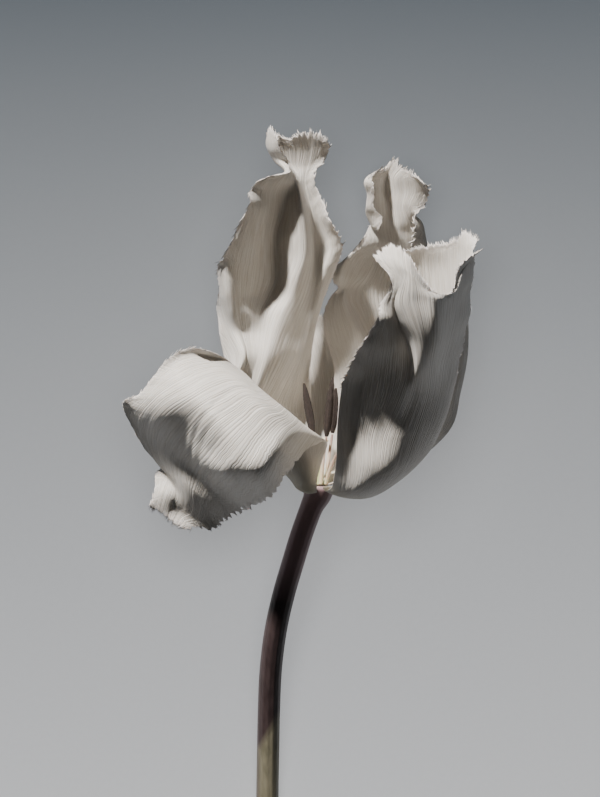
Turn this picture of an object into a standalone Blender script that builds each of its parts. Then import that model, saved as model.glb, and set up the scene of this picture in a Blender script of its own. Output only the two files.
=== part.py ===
"""A fringed tulip flower, cut and laid on its back: a stem, six wavy petals, six stamens and a pistil.

Shape points are in millimetres from the middle of the bloom's base: x to the right, y along the
bloom towards the petal tips, z up from the surface that the flower lies on. Each petal is a sheet
drawn through ribs, which cross it from its left edge to its right edge, from its base to its tip.
"""

import math
import random

import bpy
import numpy as np

MM = 0.001

# Driving dimensions in millimetres
STEM_DIAMETER = 5.7
RECEPTACLE_DIAMETER = 8.0
FLARE_LENGTH = 2.6
DOME_HEIGHT = 0.8
PETAL_THICKNESS = 0.7
BASE_HEIGHT = 29.2
TOOTH_LENGTH = 0.9
ANTHER_WIDTH = 2.1
FILAMENT_WIDTH = 0.95
PISTIL_WIDTH = 3.0
SEAT_GAP = 0.3

# How finely the solids are faceted
PETAL_COLUMNS = 10
PETAL_ROWS = 30
STEM_SIDES = 14
STEM_RINGS = 26
STAMEN_SIDES = 8
PISTIL_SIDES = 12
SEED = 7

STEM_LINE = (
    (-0.5, -0.3, 0.0),
    (-0.7, -1.6, -0.1),
    (-2.0, -4.6, -0.6),
    (-4.2, -10.5, -1.9),
    (-6.9, -19.2, -4.2),
    (-9.2, -27.2, -6.9),
    (-11.2, -36.5, -10.4),
    (-12.3, -45.5, -14.0),
    (-12.8, -56.2, -18.0),
    (-13.0, -66.0, -21.3),
    (-13.2, -78.0, -24.6),
    (-13.3, -92.0, -26.5),
    (-13.3, -108.0, -26.55),
)

PETAL_FRONT_LEFT = (
    ((-4.8, 0.3, 0.8), (-4.3, 0.3, 2.2), (-3.4, 0.3, 3.3), (-2.3, 0.3, 4.0), (-0.9, 0.3, 4.4)),
    ((-6.0, 0.5, 1.2), (-5.4, -0.2, 3.2), (-4.2, -0.8, 4.8), (-2.6, -1.2, 5.6), (-0.8, -1.0, 5.8)),
    ((-7.5, 2.2, 2.2), (-6.6, 1.6, 5.2), (-4.8, 1.2, 7.3), (-2.8, 1.2, 8.1), (-0.8, 1.8, 7.3)),
    ((-11.5, 6.5, 5.0), (-9.2, 5.5, 8.5), (-6.2, 5.2, 10.8), (-2.8, 5.8, 11.0), (0.2, 6.0, 8.5)),
    ((-16.0, 13.2, 8.0), (-13.5, 12.5, 12.0), (-9.8, 11.8, 14.0), (-5.0, 10.5, 13.5), (1.2, 9.0, 9.5)),
    ((-19.2, 20.8, 10.0), (-17.2, 20.5, 14.0), (-13.5, 19.0, 16.5),
     (-7.5, 15.8, 16.0), (1.8, 11.2, 10.0)),
    ((-19.6, 27.6, 11.0), (-18.9, 28.0, 12.5), (-17.6, 27.0, 15.5),
     (-15.6, 25.0, 18.5), (-13.0, 22.9, 20.0), (-10.0, 20.6, 20.0),
     (-6.8, 18.0, 18.0), (-3.0, 14.8, 14.5), (1.3, 11.9, 10.5)),
    ((-22.6, 31.6, 17.0), (-21.8, 30.6, 16.6), (-20.0, 28.6, 19.0),
     (-17.6, 25.9, 22.5), (-14.8, 23.0, 24.5), (-11.6, 20.0, 24.8),
     (-8.0, 17.2, 22.5), (-4.6, 14.4, 18.0), (-0.6, 11.2, 11.5)),
    ((-27.8, 34.2, 23.4), (-27.0, 32.8, 20.8), (-25.4, 30.8, 21.5),
     (-22.6, 27.8, 24.6), (-19.2, 24.2, 26.6), (-15.6, 20.2, 27.8),
     (-11.4, 16.0, 27.2), (-7.6, 12.6, 24.0), (-4.2, 8.4, 12.0)),
    ((-33.0, 34.7, 23.2), (-32.2, 33.0, 22.4), (-30.4, 30.0, 24.5),
     (-27.4, 26.4, 27.6), (-23.6, 22.0, 29.4), (-19.4, 17.4, 30.4),
     (-14.8, 13.0, 30.4), (-10.4, 9.2, 28.8), (-7.4, 4.6, 15.0)),
    ((-37.4, 32.6, 23.6), (-36.6, 30.8, 23.6), (-34.6, 27.6, 26.5),
     (-31.6, 23.8, 29.0), (-28.0, 19.6, 30.4), (-23.6, 14.4, 31.4),
     (-18.4, 9.0, 31.8), (-13.6, 4.6, 30.0), (-10.2, -0.2, 14.5)),
    ((-43.8, 24.4, 19.0), (-43.0, 23.8, 20.8), (-41.2, 22.2, 23.6),
     (-38.0, 19.2, 25.4), (-33.2, 14.2, 23.0), (-28.6, 9.6, 24.0),
     (-23.2, 4.8, 28.4), (-18.0, 0.4, 23.0), (-14.2, -3.6, 11.5)),
    ((-48.8, 19.4, 14.5), (-47.0, 16.8, 12.0), (-44.4, 13.8, 10.8),
     (-41.0, 10.8, 11.0), (-37.0, 7.8, 12.5), (-32.6, 5.0, 13.6),
     (-28.0, 1.0, 13.2), (-23.4, -3.0, 11.6), (-19.8, -6.6, 7.0)),
    ((-44.2, 11.0, 7.0), (-43.0, 9.4, 6.8), (-41.2, 7.4, 6.8), (-39.0, 5.4, 7.4), (-36.4, 3.2, 9.0),
     (-33.4, 0.8, 11.0), (-30.2, -2.0, 10.5), (-26.6, -5.4, 8.0), (-23.4, -8.8, 5.0)),
    ((-40.0, 5.6, 4.6), (-39.0, 4.0, 5.2), (-38.0, 2.4, 5.8), (-36.8, 0.8, 6.4), (-35.2, -1.2, 7.0),
     (-33.2, -3.2, 7.8), (-30.8, -5.4, 7.0), (-28.2, -7.8, 5.5), (-25.4, -10.2, 3.8)),
    ((-41.3, 3.4, 3.6), (-40.2, 2.0, 4.8), (-38.6, 0.4, 6.2), (-37.0, -1.2, 6.8), (-35.4, -3.0, 6.2),
     (-33.6, -5.0, 5.6), (-31.6, -7.0, 5.0), (-29.4, -9.0, 4.4), (-27.4, -10.7, 3.6)),
    ((-41.2, 0.8, 5.0), (-40.4, -0.4, 6.0), (-39.2, -1.6, 6.6), (-37.8, -2.9, 6.4), (-36.4, -4.4, 5.0),
     (-34.8, -6.0, 4.2), (-33.4, -7.6, 4.0), (-31.8, -9.0, 3.8), (-30.4, -10.2, 3.5)),
    ((-42.9, -4.2, 6.5), (-41.6, -4.9, 5.6), (-40.2, -5.7, 5.2), (-38.8, -6.6, 5.0), (-37.6, -7.6, 4.8),
     (-36.6, -8.5, 4.6), (-35.4, -9.3, 4.2), (-34.0, -9.9, 4.0), (-32.6, -10.2, 3.8)),
)

PETAL_LEFT = (
    ((-3.7, 0.95, 0.9), (-3.8, 0.95, -0.1), (-3.6, 0.95, -1.1),
     (-3.2, 0.95, -2.0), (-2.5, 0.95, -2.7), (-1.7, 0.95, -3.1)),
    ((-6.8, 3.3, 1.5), (-7.0, 3.3, -1.5), (-6.2, 3.3, -4.3),
     (-4.8, 3.2, -6.3), (-3.2, 3.1, -7.5), (-1.8, 3.1, -8.0)),
    ((-9.8, 7.5, 3.5), (-10.8, 7.2, -2.0), (-9.8, 7.0, -7.5),
     (-7.0, 6.8, -11.8), (-4.5, 6.8, -13.6), (-2.0, 7.2, -14.2)),
    ((-15.5, 14.5, 2.0), (-16.2, 14.2, -3.5), (-14.0, 13.8, -9.0), (-11.0, 13.4, -13.0),
     (-7.8, 13.2, -17.0), (-4.2, 13.5, -18.8), (-1.8, 14.5, -18.5)),
    ((-20.5, 22.0, -1.0), (-20.8, 21.8, -4.0), (-20.2, 21.6, -6.5), (-19.2, 21.4, -8.2),
     (-18.4, 21.2, -9.2), (-17.6, 21.0, -9.6), (-16.4, 21.0, -10.0), (-9.8, 20.8, -17.5),
     (-6.8, 21.0, -20.0), (-4.6, 21.4, -20.8), (-2.2, 22.0, -20.0)),
    ((-22.6, 27.0, -9.0), (-21.6, 26.8, -5.5), (-20.4, 26.6, -6.5), (-19.0, 26.4, -7.6),
     (-17.6, 26.2, -8.2), (-16.2, 26.1, -7.6), (-14.6, 26.1, -7.6), (-8.4, 26.0, -14.5),
     (-5.8, 26.4, -16.5), (-4.0, 27.0, -17.6), (-2.3, 27.8, -17.0)),
    ((-24.2, 33.6, -12.0), (-19.6, 33.0, -5.0), (-18.4, 32.8, -5.6), (-17.2, 32.6, -6.4),
     (-15.8, 32.4, -7.0), (-14.4, 32.3, -6.4), (-12.6, 32.3, -6.2), (-6.0, 32.4, -12.8),
     (-4.4, 32.8, -14.4), (-3.2, 33.4, -15.6), (-2.1, 34.2, -16.4)),
    ((-25.4, 40.0, -12.5), (-21.6, 39.6, -7.6), (-19.6, 39.4, -8.6), (-17.4, 39.1, -9.6),
     (-15.0, 38.9, -9.4), (-13.4, 38.8, -8.2), (-10.8, 38.8, -6.8), (-4.8, 39.0, -12.4),
     (-3.0, 39.6, -13.6), (-1.9, 40.4, -14.4), (-0.9, 41.2, -15.6)),
    ((-25.8, 45.2, -13.0), (-22.6, 44.8, -5.0), (-20.0, 44.5, -6.0), (-17.2, 44.2, -8.0),
     (-14.6, 44.0, -9.4), (-12.0, 43.9, -8.6), (-9.0, 43.9, -7.2), (-3.6, 44.2, -11.8),
     (-1.8, 44.8, -12.8), (-0.8, 45.6, -13.4), (0.4, 46.2, -15.0)),
    ((-25.4, 49.0, -6.4), (-22.8, 48.8, -2.4), (-19.6, 48.5, -5.6), (-16.2, 48.2, -9.4),
     (-12.4, 48.0, -11.2), (-9.8, 47.9, -9.4), (-7.0, 47.9, -7.6), (-2.6, 48.2, -11.8),
     (-0.8, 48.8, -12.4), (0.4, 49.8, -12.6), (2.4, 50.4, -14.4)),
    ((-26.1, 54.4, -2.0), (-22.6, 53.8, -0.4), (-18.8, 53.2, -4.0), (-14.6, 52.8, -8.4),
     (-10.4, 52.6, -11.4), (-8.4, 52.6, -8.6), (-5.4, 52.8, -6.6), (-1.8, 53.2, -11.4),
     (0.2, 54.0, -11.6), (1.8, 55.0, -11.2), (4.0, 55.6, -13.4)),
    ((-24.0, 59.0, 3.4), (-21.0, 58.6, 1.4), (-17.6, 58.0, -2.8), (-14.2, 57.6, -7.2),
     (-10.4, 57.4, -10.9), (-7.4, 57.4, -7.4), (-3.8, 57.6, -5.8), (-1.6, 58.0, -11.4),
     (0.4, 58.6, -12.0), (3.0, 59.6, -10.8), (5.8, 60.4, -12.0)),
    ((-20.4, 65.4, 5.4), (-18.4, 65.0, 3.4), (-16.0, 64.4, -0.2), (-13.6, 64.0, -4.6),
     (-10.6, 63.8, -9.4), (-7.4, 63.6, -5.8), (-3.8, 63.8, -4.4), (-2.0, 64.0, -9.6),
     (-0.2, 64.4, -10.4), (1.8, 65.0, -9.6), (3.8, 65.6, -7.6)),
    ((-18.0, 71.0, 7.0), (-16.4, 70.6, 5.2), (-14.6, 70.2, 2.2), (-12.2, 69.8, -2.8),
     (-9.0, 69.4, -7.8), (-6.8, 69.2, -4.8), (-4.6, 69.2, -3.4), (-2.8, 69.2, -8.0),
     (-1.4, 69.4, -8.6), (-0.2, 69.8, -8.2), (1.4, 70.4, -6.8)),
    ((-17.6, 74.4, 6.6), (-15.8, 74.6, 4.8), (-13.8, 74.6, 2.4), (-11.4, 74.6, -0.8),
     (-8.4, 74.4, -4.8), (-6.8, 74.2, -5.4), (-5.4, 74.0, -4.8), (-4.2, 73.8, -7.2),
     (-2.8, 73.8, -7.8), (-1.8, 74.2, -7.6), (-0.8, 75.0, -6.8)),
    ((-14.2, 76.9, 6.2), (-13.0, 77.0, 5.0), (-11.4, 77.2, 3.2), (-9.6, 77.2, 0.8),
     (-7.8, 77.0, -2.6), (-6.8, 76.8, -4.6), (-5.8, 76.6, -5.6), (-4.6, 76.4, -7.0),
     (-3.4, 76.4, -7.5), (-2.2, 76.6, -7.2), (-1.0, 77.4, -6.6)),
    ((-8.2, 78.6, 4.6), (-8.4, 78.8, 3.2), (-8.6, 79.0, 1.0), (-8.4, 79.0, -2.4),
     (-7.4, 78.8, -5.4), (-6.4, 78.6, -6.4), (-5.4, 78.6, -6.9), (-4.4, 78.6, -7.2),
     (-3.2, 78.6, -7.4), (-1.8, 79.0, -7.0), (-0.4, 79.6, -6.2)),
    ((-7.4, 81.0, -1.0), (-8.6, 81.4, -1.6), (-10.4, 81.8, -3.0), (-11.4, 82.0, -5.4),
     (-10.4, 81.8, -7.4), (-8.6, 81.4, -7.6), (-6.6, 81.2, -7.4), (-4.6, 81.0, -7.2),
     (-2.4, 81.2, -6.9), (-0.2, 81.8, -6.3), (1.8, 82.4, -5.6)),
    ((-9.0, 84.2, 1.0), (-10.2, 84.6, 0.0), (-12.2, 85.0, -2.0), (-13.2, 85.4, -5.0),
     (-12.0, 85.2, -6.8), (-9.4, 84.8, -6.2), (-6.8, 84.6, -5.8), (-4.2, 84.6, -5.4),
     (-1.8, 84.8, -4.9), (0.6, 85.2, -4.1), (2.8, 85.4, -3.6)),
    ((-10.6, 88.0, 2.0), (-11.4, 89.2, 1.4), (-12.4, 90.0, 0.0), (-13.2, 88.8, -2.0),
     (-12.4, 88.0, -4.6), (-10.4, 88.4, -3.2), (-7.8, 87.4, -3.6), (-5.6, 88.8, -2.0),
     (-2.2, 89.5, -1.6), (0.8, 88.2, -1.7), (3.2, 86.0, -2.8)),
)

PETAL_BACK_LEFT = (
    ((-3.9, 0.3, -2.8), (-2.7, 0.3, -3.8), (-1.2, 0.3, -4.4), (0.2, 0.3, -4.4), (1.6, 0.3, -3.9)),
    ((-7.0, 2.5, -6.5), (-5.0, 2.4, -8.8), (-2.2, 2.2, -10.4), (1.0, 2.2, -11.0), (4.0, 2.3, -10.6)),
    ((-12.0, 7.2, -9.5), (-8.5, 6.8, -13.8), (-3.5, 6.2, -16.8), (2.0, 6.0, -18.2), (6.8, 6.2, -18.6)),
    ((-16.2, 14.5, -14.0), (-11.2, 13.5, -19.5), (-4.5, 12.8, -23.0),
     (2.2, 12.8, -24.3), (7.5, 13.5, -24.2)),
    ((-18.5, 22.0, -17.5), (-12.5, 21.0, -23.5), (-5.0, 20.2, -27.0),
     (2.5, 20.5, -28.0), (8.2, 22.0, -27.4)),
    ((-19.8, 29.5, -19.0), (-13.5, 28.8, -25.0), (-6.2, 28.2, -28.6),
     (1.0, 28.5, -28.8), (6.5, 29.5, -27.2)),
    ((-20.0, 38.0, -19.5), (-14.5, 37.2, -25.0), (-8.0, 37.0, -29.1),
     (-1.5, 37.2, -29.1), (4.0, 38.5, -27.0)),
    ((-19.5, 45.5, -19.5), (-15.0, 45.0, -24.5), (-9.5, 44.5, -28.0),
     (-4.5, 45.0, -28.0), (-1.0, 45.8, -26.5)),
    ((-18.5, 55.0, -19.0), (-15.0, 54.5, -23.0), (-10.8, 54.2, -26.0),
     (-7.0, 54.8, -26.0), (-4.2, 56.0, -24.5)),
    ((-16.8, 64.0, -18.0), (-14.5, 63.8, -20.5), (-11.8, 63.8, -22.5),
     (-9.2, 64.5, -22.5), (-7.2, 65.5, -21.5)),
    ((-14.0, 70.5, -17.0), (-13.0, 71.5, -18.0), (-11.8, 72.2, -18.5),
     (-10.5, 72.5, -18.5), (-9.2, 71.8, -18.2)),
)

PETAL_BACK_RIGHT = (
    ((-0.6, 0.95, -3.3), (0.2, 0.95, -3.2), (0.8, 0.95, -3.0), (1.5, 0.95, -2.6), (2.0, 0.95, -2.1)),
    ((-0.8, 3.2, -8.3), (1.5, 3.1, -8.0), (3.6, 3.1, -7.0), (5.3, 3.1, -5.9), (6.4, 3.2, -4.4)),
    ((0.5, 6.8, -14.0), (3.8, 6.0, -15.2), (7.5, 5.8, -15.2), (11.0, 6.0, -13.5), (14.0, 6.8, -10.5)),
    ((2.2, 14.5, -19.5), (6.5, 13.2, -21.0), (11.0, 12.5, -21.5),
     (15.8, 13.0, -19.8), (20.5, 14.5, -16.0)),
    ((3.2, 22.5, -22.5), (8.0, 21.2, -24.5), (13.0, 20.5, -25.0),
     (18.8, 21.0, -24.0), (25.0, 22.5, -20.5)),
    ((3.6, 29.5, -23.5), (8.2, 28.2, -25.2), (13.5, 27.2, -26.8),
     (21.0, 27.5, -26.8), (29.5, 29.5, -22.5)),
    ((2.0, 36.0, -23.0), (4.5, 35.4, -23.4), (7.0, 35.0, -24.2), (9.6, 34.8, -25.2), (13.5, 34.5, -26.8),
     (17.5, 34.8, -28.0), (22.0, 35.4, -28.6), (27.0, 36.5, -27.0), (31.5, 38.0, -24.0)),
    ((0.9, 40.5, -22.0), (3.4, 40.2, -22.2), (6.0, 40.0, -22.8), (8.8, 39.8, -23.4), (10.8, 39.8, -26.0),
     (15.0, 39.8, -27.4), (21.0, 40.2, -28.6), (27.0, 41.2, -27.2), (32.0, 42.6, -24.5)),
    ((1.1, 44.6, -21.4), (3.0, 44.2, -21.4), (5.0, 44.0, -21.8), (7.0, 43.8, -22.4), (8.8, 43.8, -25.2),
     (14.0, 44.0, -26.6), (21.0, 44.4, -28.0), (27.0, 45.4, -27.0), (32.0, 46.6, -24.5)),
    ((2.8, 48.2, -21.0), (3.8, 48.0, -21.0), (4.8, 47.8, -21.2), (5.8, 47.6, -21.6), (7.2, 47.6, -24.0),
     (13.0, 47.8, -25.8), (20.0, 48.2, -27.2), (26.5, 49.2, -26.6), (31.8, 50.4, -24.2)),
    ((4.4, 50.2, -20.4), (5.0, 50.2, -21.0), (5.6, 50.2, -21.8), (6.2, 50.2, -22.6), (7.6, 50.3, -23.6),
     (13.0, 50.4, -25.0), (20.0, 50.8, -26.2), (26.0, 51.6, -26.0), (31.6, 52.6, -24.0)),
    ((3.4, 52.8, -20.5), (4.6, 52.8, -18.8), (6.0, 52.8, -20.0), (7.6, 52.8, -21.4), (9.8, 52.8, -22.6),
     (14.0, 53.0, -24.0), (20.0, 53.4, -25.0), (26.0, 54.2, -25.0), (31.4, 55.2, -23.5)),
    ((4.2, 56.2, -20.0), (5.6, 56.0, -18.2), (7.2, 55.8, -19.4), (9.0, 55.6, -20.8), (11.5, 55.6, -22.0),
     (15.0, 55.8, -23.0), (20.0, 56.2, -23.6), (25.5, 56.8, -23.6), (30.6, 57.6, -22.6)),
    ((6.6, 58.4, -19.6), (7.8, 58.6, -18.0), (9.2, 58.4, -18.8), (10.8, 58.2, -19.8), (12.8, 58.0, -20.8),
     (15.6, 58.0, -21.6), (20.0, 58.2, -21.8), (26.0, 58.8, -20.8), (27.5, 59.2, -18.0)),
    ((8.8, 60.2, -17.6), (10.2, 60.2, -17.2), (12.0, 60.1, -17.8),
     (14.4, 60.0, -18.8), (16.4, 59.8, -19.4), (18.8, 59.8, -20.0),
     (21.4, 60.2, -19.8), (26.9, 61.0, -18.6), (22.4, 60.6, -14.6)),
    ((11.0, 63.4, -16.4), (12.2, 62.9, -16.6), (13.6, 62.6, -16.8),
     (15.0, 62.5, -17.0), (16.4, 62.4, -17.8), (18.8, 62.4, -18.8),
     (21.2, 62.6, -18.2), (26.3, 63.2, -16.8), (22.2, 62.8, -13.6)),
    ((12.6, 66.0, -17.2), (12.9, 65.6, -17.0), (13.2, 65.0, -16.6),
     (14.0, 64.6, -16.6), (15.8, 64.4, -17.4), (18.5, 64.2, -18.2),
     (21.2, 64.4, -17.2), (25.9, 65.0, -15.4), (22.7, 64.6, -12.9)),
    ((15.0, 64.8, -13.2), (14.0, 65.5, -13.8), (12.9, 66.2, -15.0),
     (13.7, 66.2, -16.4), (15.6, 66.2, -17.0), (18.2, 66.0, -17.6),
     (21.0, 66.2, -15.8), (25.4, 66.8, -14.0), (23.3, 66.0, -12.2)),
    ((16.2, 67.6, -11.2), (14.2, 68.2, -11.8), (11.8, 68.8, -13.2),
     (13.2, 68.6, -15.4), (15.4, 68.4, -16.6), (17.8, 68.2, -17.4),
     (20.6, 68.4, -14.8), (23.6, 68.9, -12.6), (24.7, 68.6, -11.8)),
    ((13.4, 70.0, -10.0), (12.6, 70.2, -10.6), (11.7, 70.4, -11.6),
     (12.8, 70.6, -13.6), (15.2, 70.8, -15.6), (17.6, 71.0, -17.0),
     (20.2, 71.0, -14.0), (23.2, 71.2, -11.4), (26.4, 70.2, -11.5)),
    ((13.4, 73.2, -9.0), (12.8, 73.4, -9.6), (12.0, 73.6, -10.6),
     (13.2, 73.8, -13.0), (15.0, 74.0, -15.0), (17.0, 74.0, -16.8),
     (20.4, 74.2, -12.6), (24.2, 74.2, -9.2), (27.6, 73.4, -9.5)),
    ((14.0, 75.6, -8.0), (12.8, 76.2, -8.2), (11.4, 77.0, -8.8), (13.0, 77.2, -11.4), (15.0, 77.4, -13.8),
     (17.0, 77.6, -15.6), (19.8, 77.6, -11.0), (23.6, 77.2, -7.6), (26.8, 75.8, -8.0)),
    ((12.0, 77.8, -8.0), (13.2, 78.4, -8.6), (14.2, 79.4, -9.8), (15.4, 80.2, -11.4),
     (16.6, 80.0, -13.6), (17.2, 81.4, -13.8), (18.8, 82.8, -10.6), (20.6, 80.8, -8.6),
     (22.4, 79.4, -7.4), (24.4, 78.0, -6.8), (26.2, 76.8, -7.2)),
)

PETAL_RIGHT = (
    ((2.7, 0.95, -0.7), (2.8, 0.95, -0.2), (2.8, 0.95, 0.4), (2.7, 0.95, 0.8),
     (2.6, 0.95, 1.3), (2.3, 0.95, 1.7), (2.0, 0.95, 2.1)),
    ((7.5, 3.0, -3.0), (8.1, 2.8, -1.2), (8.4, 2.7, 0.8), (8.0, 2.6, 3.0), (7.0, 2.6, 5.0)),
    ((11.5, 4.5, -5.5), (14.2, 3.8, -5.0), (16.5, 3.5, -2.5), (17.0, 3.5, 1.0), (15.2, 3.8, 4.5)),
    ((14.5, 7.2, -7.0), (18.5, 6.8, -8.2), (22.0, 6.8, -7.2), (24.5, 7.4, -4.0),
     (25.3, 8.2, -0.6), (23.4, 8.4, 2.6), (20.8, 8.2, 5.0)),
    ((17.0, 14.5, -11.0), (22.0, 14.0, -13.0), (27.0, 14.2, -12.0), (30.5, 15.2, -8.0),
     (33.0, 15.8, -2.5), (31.2, 16.0, 0.6), (28.0, 15.5, 4.0)),
    ((18.0, 22.2, -14.0), (23.0, 22.0, -15.5), (28.2, 22.2, -14.0), (32.5, 23.0, -9.5),
     (34.9, 23.8, -3.5), (34.0, 23.8, 0.5), (30.8, 23.2, 4.0)),
    ((18.5, 30.8, -15.0), (23.8, 30.5, -16.0), (29.5, 31.0, -14.0), (34.0, 31.8, -9.0),
     (36.6, 32.5, -3.5), (35.8, 32.5, 0.5), (33.2, 32.0, 3.5)),
    ((19.0, 39.5, -14.0), (24.2, 39.2, -15.0), (30.0, 39.8, -13.0), (34.2, 40.5, -8.5),
     (36.8, 41.2, -3.5), (36.2, 41.5, 0.0), (34.2, 41.2, 3.0)),
    ((19.8, 49.0, -12.5), (24.8, 48.8, -13.0), (29.8, 49.2, -11.0), (33.5, 50.0, -7.0),
     (35.5, 50.8, -3.0), (35.8, 51.0, 0.0), (35.0, 50.8, 2.5)),
    ((20.5, 55.0, -10.5), (25.0, 55.0, -11.0), (29.5, 55.5, -9.5), (33.2, 56.2, -6.0),
     (35.8, 57.0, -3.0), (37.0, 57.2, -0.5), (37.2, 57.0, 1.5)),
    ((21.0, 59.2, -7.0), (24.0, 60.0, -7.5), (27.2, 60.8, -7.0), (30.2, 61.0, -5.8), (33.2, 61.8, -3.6),
     (35.2, 63.0, -2.8), (36.0, 64.2, -2.5), (38.0, 63.2, -1.5), (39.8, 61.8, -0.2)),
)

PETAL_FRONT_RIGHT = (
    ((0.7, 0.3, 4.4), (1.5, 0.3, 4.0), (2.2, 0.3, 3.6), (2.8, 0.3, 3.0),
     (3.4, 0.3, 2.3), (3.7, 0.3, 1.5), (3.9, 0.3, 0.8)),
    ((1.2, -0.6, 6.8), (2.4, -1.1, 6.6), (3.8, -1.5, 6.0), (5.0, -1.6, 5.0),
     (5.9, -1.5, 3.6), (6.5, -1.2, 2.0), (6.8, -0.8, 0.2)),
    ((2.8, 0.2, 10.0), (4.2, -0.8, 10.4), (6.2, -1.8, 10.5), (8.5, -2.4, 9.0),
     (10.5, -2.4, 6.0), (11.8, -2.0, 3.0), (12.2, -1.0, 0.0)),
    ((3.5, 3.0, 15.0), (6.2, 1.2, 15.2), (9.8, 0.0, 16.5), (13.2, -0.5, 15.0),
     (16.5, 0.0, 11.0), (19.0, 1.5, 6.5), (20.6, 3.0, 2.2)),
    ((4.0, 8.2, 20.5), (7.5, 6.2, 19.0), (12.2, 5.0, 21.0), (17.2, 4.8, 20.5),
     (21.8, 5.8, 16.5), (25.0, 7.2, 10.5), (27.1, 9.0, 3.8)),
    ((4.2, 15.8, 25.5), (8.2, 14.0, 22.5), (13.5, 12.8, 23.0), (19.2, 12.5, 23.4),
     (24.5, 13.2, 19.6), (28.8, 14.5, 13.0), (31.0, 16.8, 5.4)),
    ((5.6, 26.5, 31.5), (9.0, 25.5, 29.0), (13.0, 24.8, 29.4), (17.0, 24.3, 29.0),
     (20.5, 24.0, 28.2), (23.3, 24.0, 26.0), (25.6, 24.0, 24.0), (28.0, 24.2, 20.5),
     (30.4, 24.6, 16.0), (32.4, 25.2, 11.0), (33.6, 26.0, 5.5)),
    ((8.5, 33.0, 37.0), (11.5, 32.0, 35.0), (15.0, 31.2, 33.4), (18.6, 30.6, 32.2),
     (22.4, 30.4, 31.0), (24.2, 30.6, 35.4), (26.0, 31.0, 35.4), (28.2, 31.4, 31.5),
     (30.8, 31.8, 22.0), (33.2, 32.4, 14.0), (35.2, 33.5, 6.5)),
    ((11.2, 37.5, 40.5), (13.6, 37.0, 39.4), (16.4, 36.6, 38.0), (19.2, 36.4, 36.6),
     (21.6, 36.4, 35.0), (23.4, 36.8, 39.6), (26.2, 37.2, 40.0), (29.0, 37.4, 37.8),
     (31.8, 37.8, 27.0), (34.4, 38.6, 17.0), (36.6, 40.0, 7.2)),
    ((14.1, 42.5, 43.0), (15.6, 42.2, 42.4), (17.2, 42.0, 41.4), (18.2, 42.0, 40.4),
     (19.2, 42.0, 39.4), (20.8, 42.3, 42.6), (25.2, 42.6, 42.8), (28.8, 42.6, 41.4),
     (32.2, 43.0, 30.0), (35.2, 44.0, 18.5), (37.5, 45.5, 7.8)),
    ((14.8, 46.0, 42.4), (15.8, 45.8, 42.6), (17.0, 45.7, 42.4), (17.8, 45.8, 42.4),
     (18.3, 46.0, 42.4), (19.6, 46.3, 44.2), (24.2, 46.4, 44.0), (28.4, 46.0, 42.4),
     (32.4, 46.6, 31.5), (35.6, 48.5, 19.0), (37.9, 50.5, 8.3)),
    ((17.0, 49.2, 44.4), (17.6, 49.4, 44.5), (18.2, 49.6, 44.6), (18.8, 49.8, 44.8),
     (19.4, 50.0, 45.0), (20.4, 50.2, 45.2), (23.8, 49.2, 44.9), (28.0, 47.4, 42.6),
     (32.2, 48.0, 32.5), (35.8, 51.5, 19.5), (38.1, 54.5, 8.8)),
    ((17.2, 51.8, 45.0), (17.8, 52.0, 45.0), (18.4, 52.2, 45.1), (19.1, 52.4, 45.2),
     (19.9, 52.6, 45.3), (21.0, 52.5, 45.4), (23.2, 51.4, 45.2), (27.0, 48.4, 42.4),
     (32.8, 48.6, 32.0), (35.8, 54.5, 20.0), (38.6, 57.0, 9.3)),
    ((14.8, 55.2, 44.0), (15.4, 55.4, 44.2), (16.2, 55.6, 44.4), (17.0, 55.8, 44.6), (18.0, 56.0, 44.8),
     (19.0, 55.8, 45.2), (20.4, 55.2, 45.4), (22.4, 53.4, 45.2), (25.0, 50.0, 43.8), (28.6, 47.2, 40.0),
     (32.6, 47.8, 32.4), (34.6, 53.6, 23.5), (39.4, 59.2, 9.9)),
    ((12.8, 57.0, 42.0), (13.4, 58.0, 41.8), (14.4, 59.0, 41.8), (15.6, 59.8, 42.0), (17.0, 60.5, 42.2),
     (18.4, 60.4, 42.6), (20.0, 59.6, 43.2), (22.2, 57.0, 44.2), (25.4, 51.4, 43.4), (28.8, 48.2, 39.8),
     (32.6, 49.0, 32.2), (34.4, 55.5, 23.5), (41.0, 60.4, 10.5)),
)

# Each stamen: the foot of its filament, the top of its filament and the tip of its anther
STAMENS = (
    ((-2.2, 0.9, -1.3), (-1.7, 13.0, -3.0), (-4.0, 26.2, -5.5)),
    ((0.2, 0.9, 2.1), (1.6, 12.6, 2.0), (2.9, 25.4, 3.4)),
    ((0.2, 0.9, -2.1), (1.9, 14.8, -4.6), (3.2, 27.6, -7.0)),
    ((1.6, 0.9, -0.4), (3.1, 13.4, -1.8), (4.0, 25.0, -1.6)),
    ((-2.2, 0.9, 1.3), (-5.2, 10.0, 4.6), (-9.6, 19.6, 7.2)),
    ((1.4, 0.9, 1.4), (5.4, 10.6, 6.6), (8.4, 20.4, 10.6)),
)

PISTIL_LINE = ((-0.5, 0.85, 0.0), (-0.5, 4.0, 0.0), (-0.5, 9.0, 0.1), (-0.6, 12.6, 0.1))


def start_empty():
    """Clears the scene."""
    for old in list(bpy.context.scene.objects):
        bpy.data.objects.remove(old, do_unlink=True)


def material(name, colour, roughness):
    made = bpy.data.materials.new(name)
    made.use_nodes = True
    shader = made.node_tree.nodes["Principled BSDF"]
    shader.inputs["Base Color"].default_value = (*colour, 1.0)
    shader.inputs["Roughness"].default_value = roughness
    shader.inputs["Metallic"].default_value = 0.0
    return made


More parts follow.
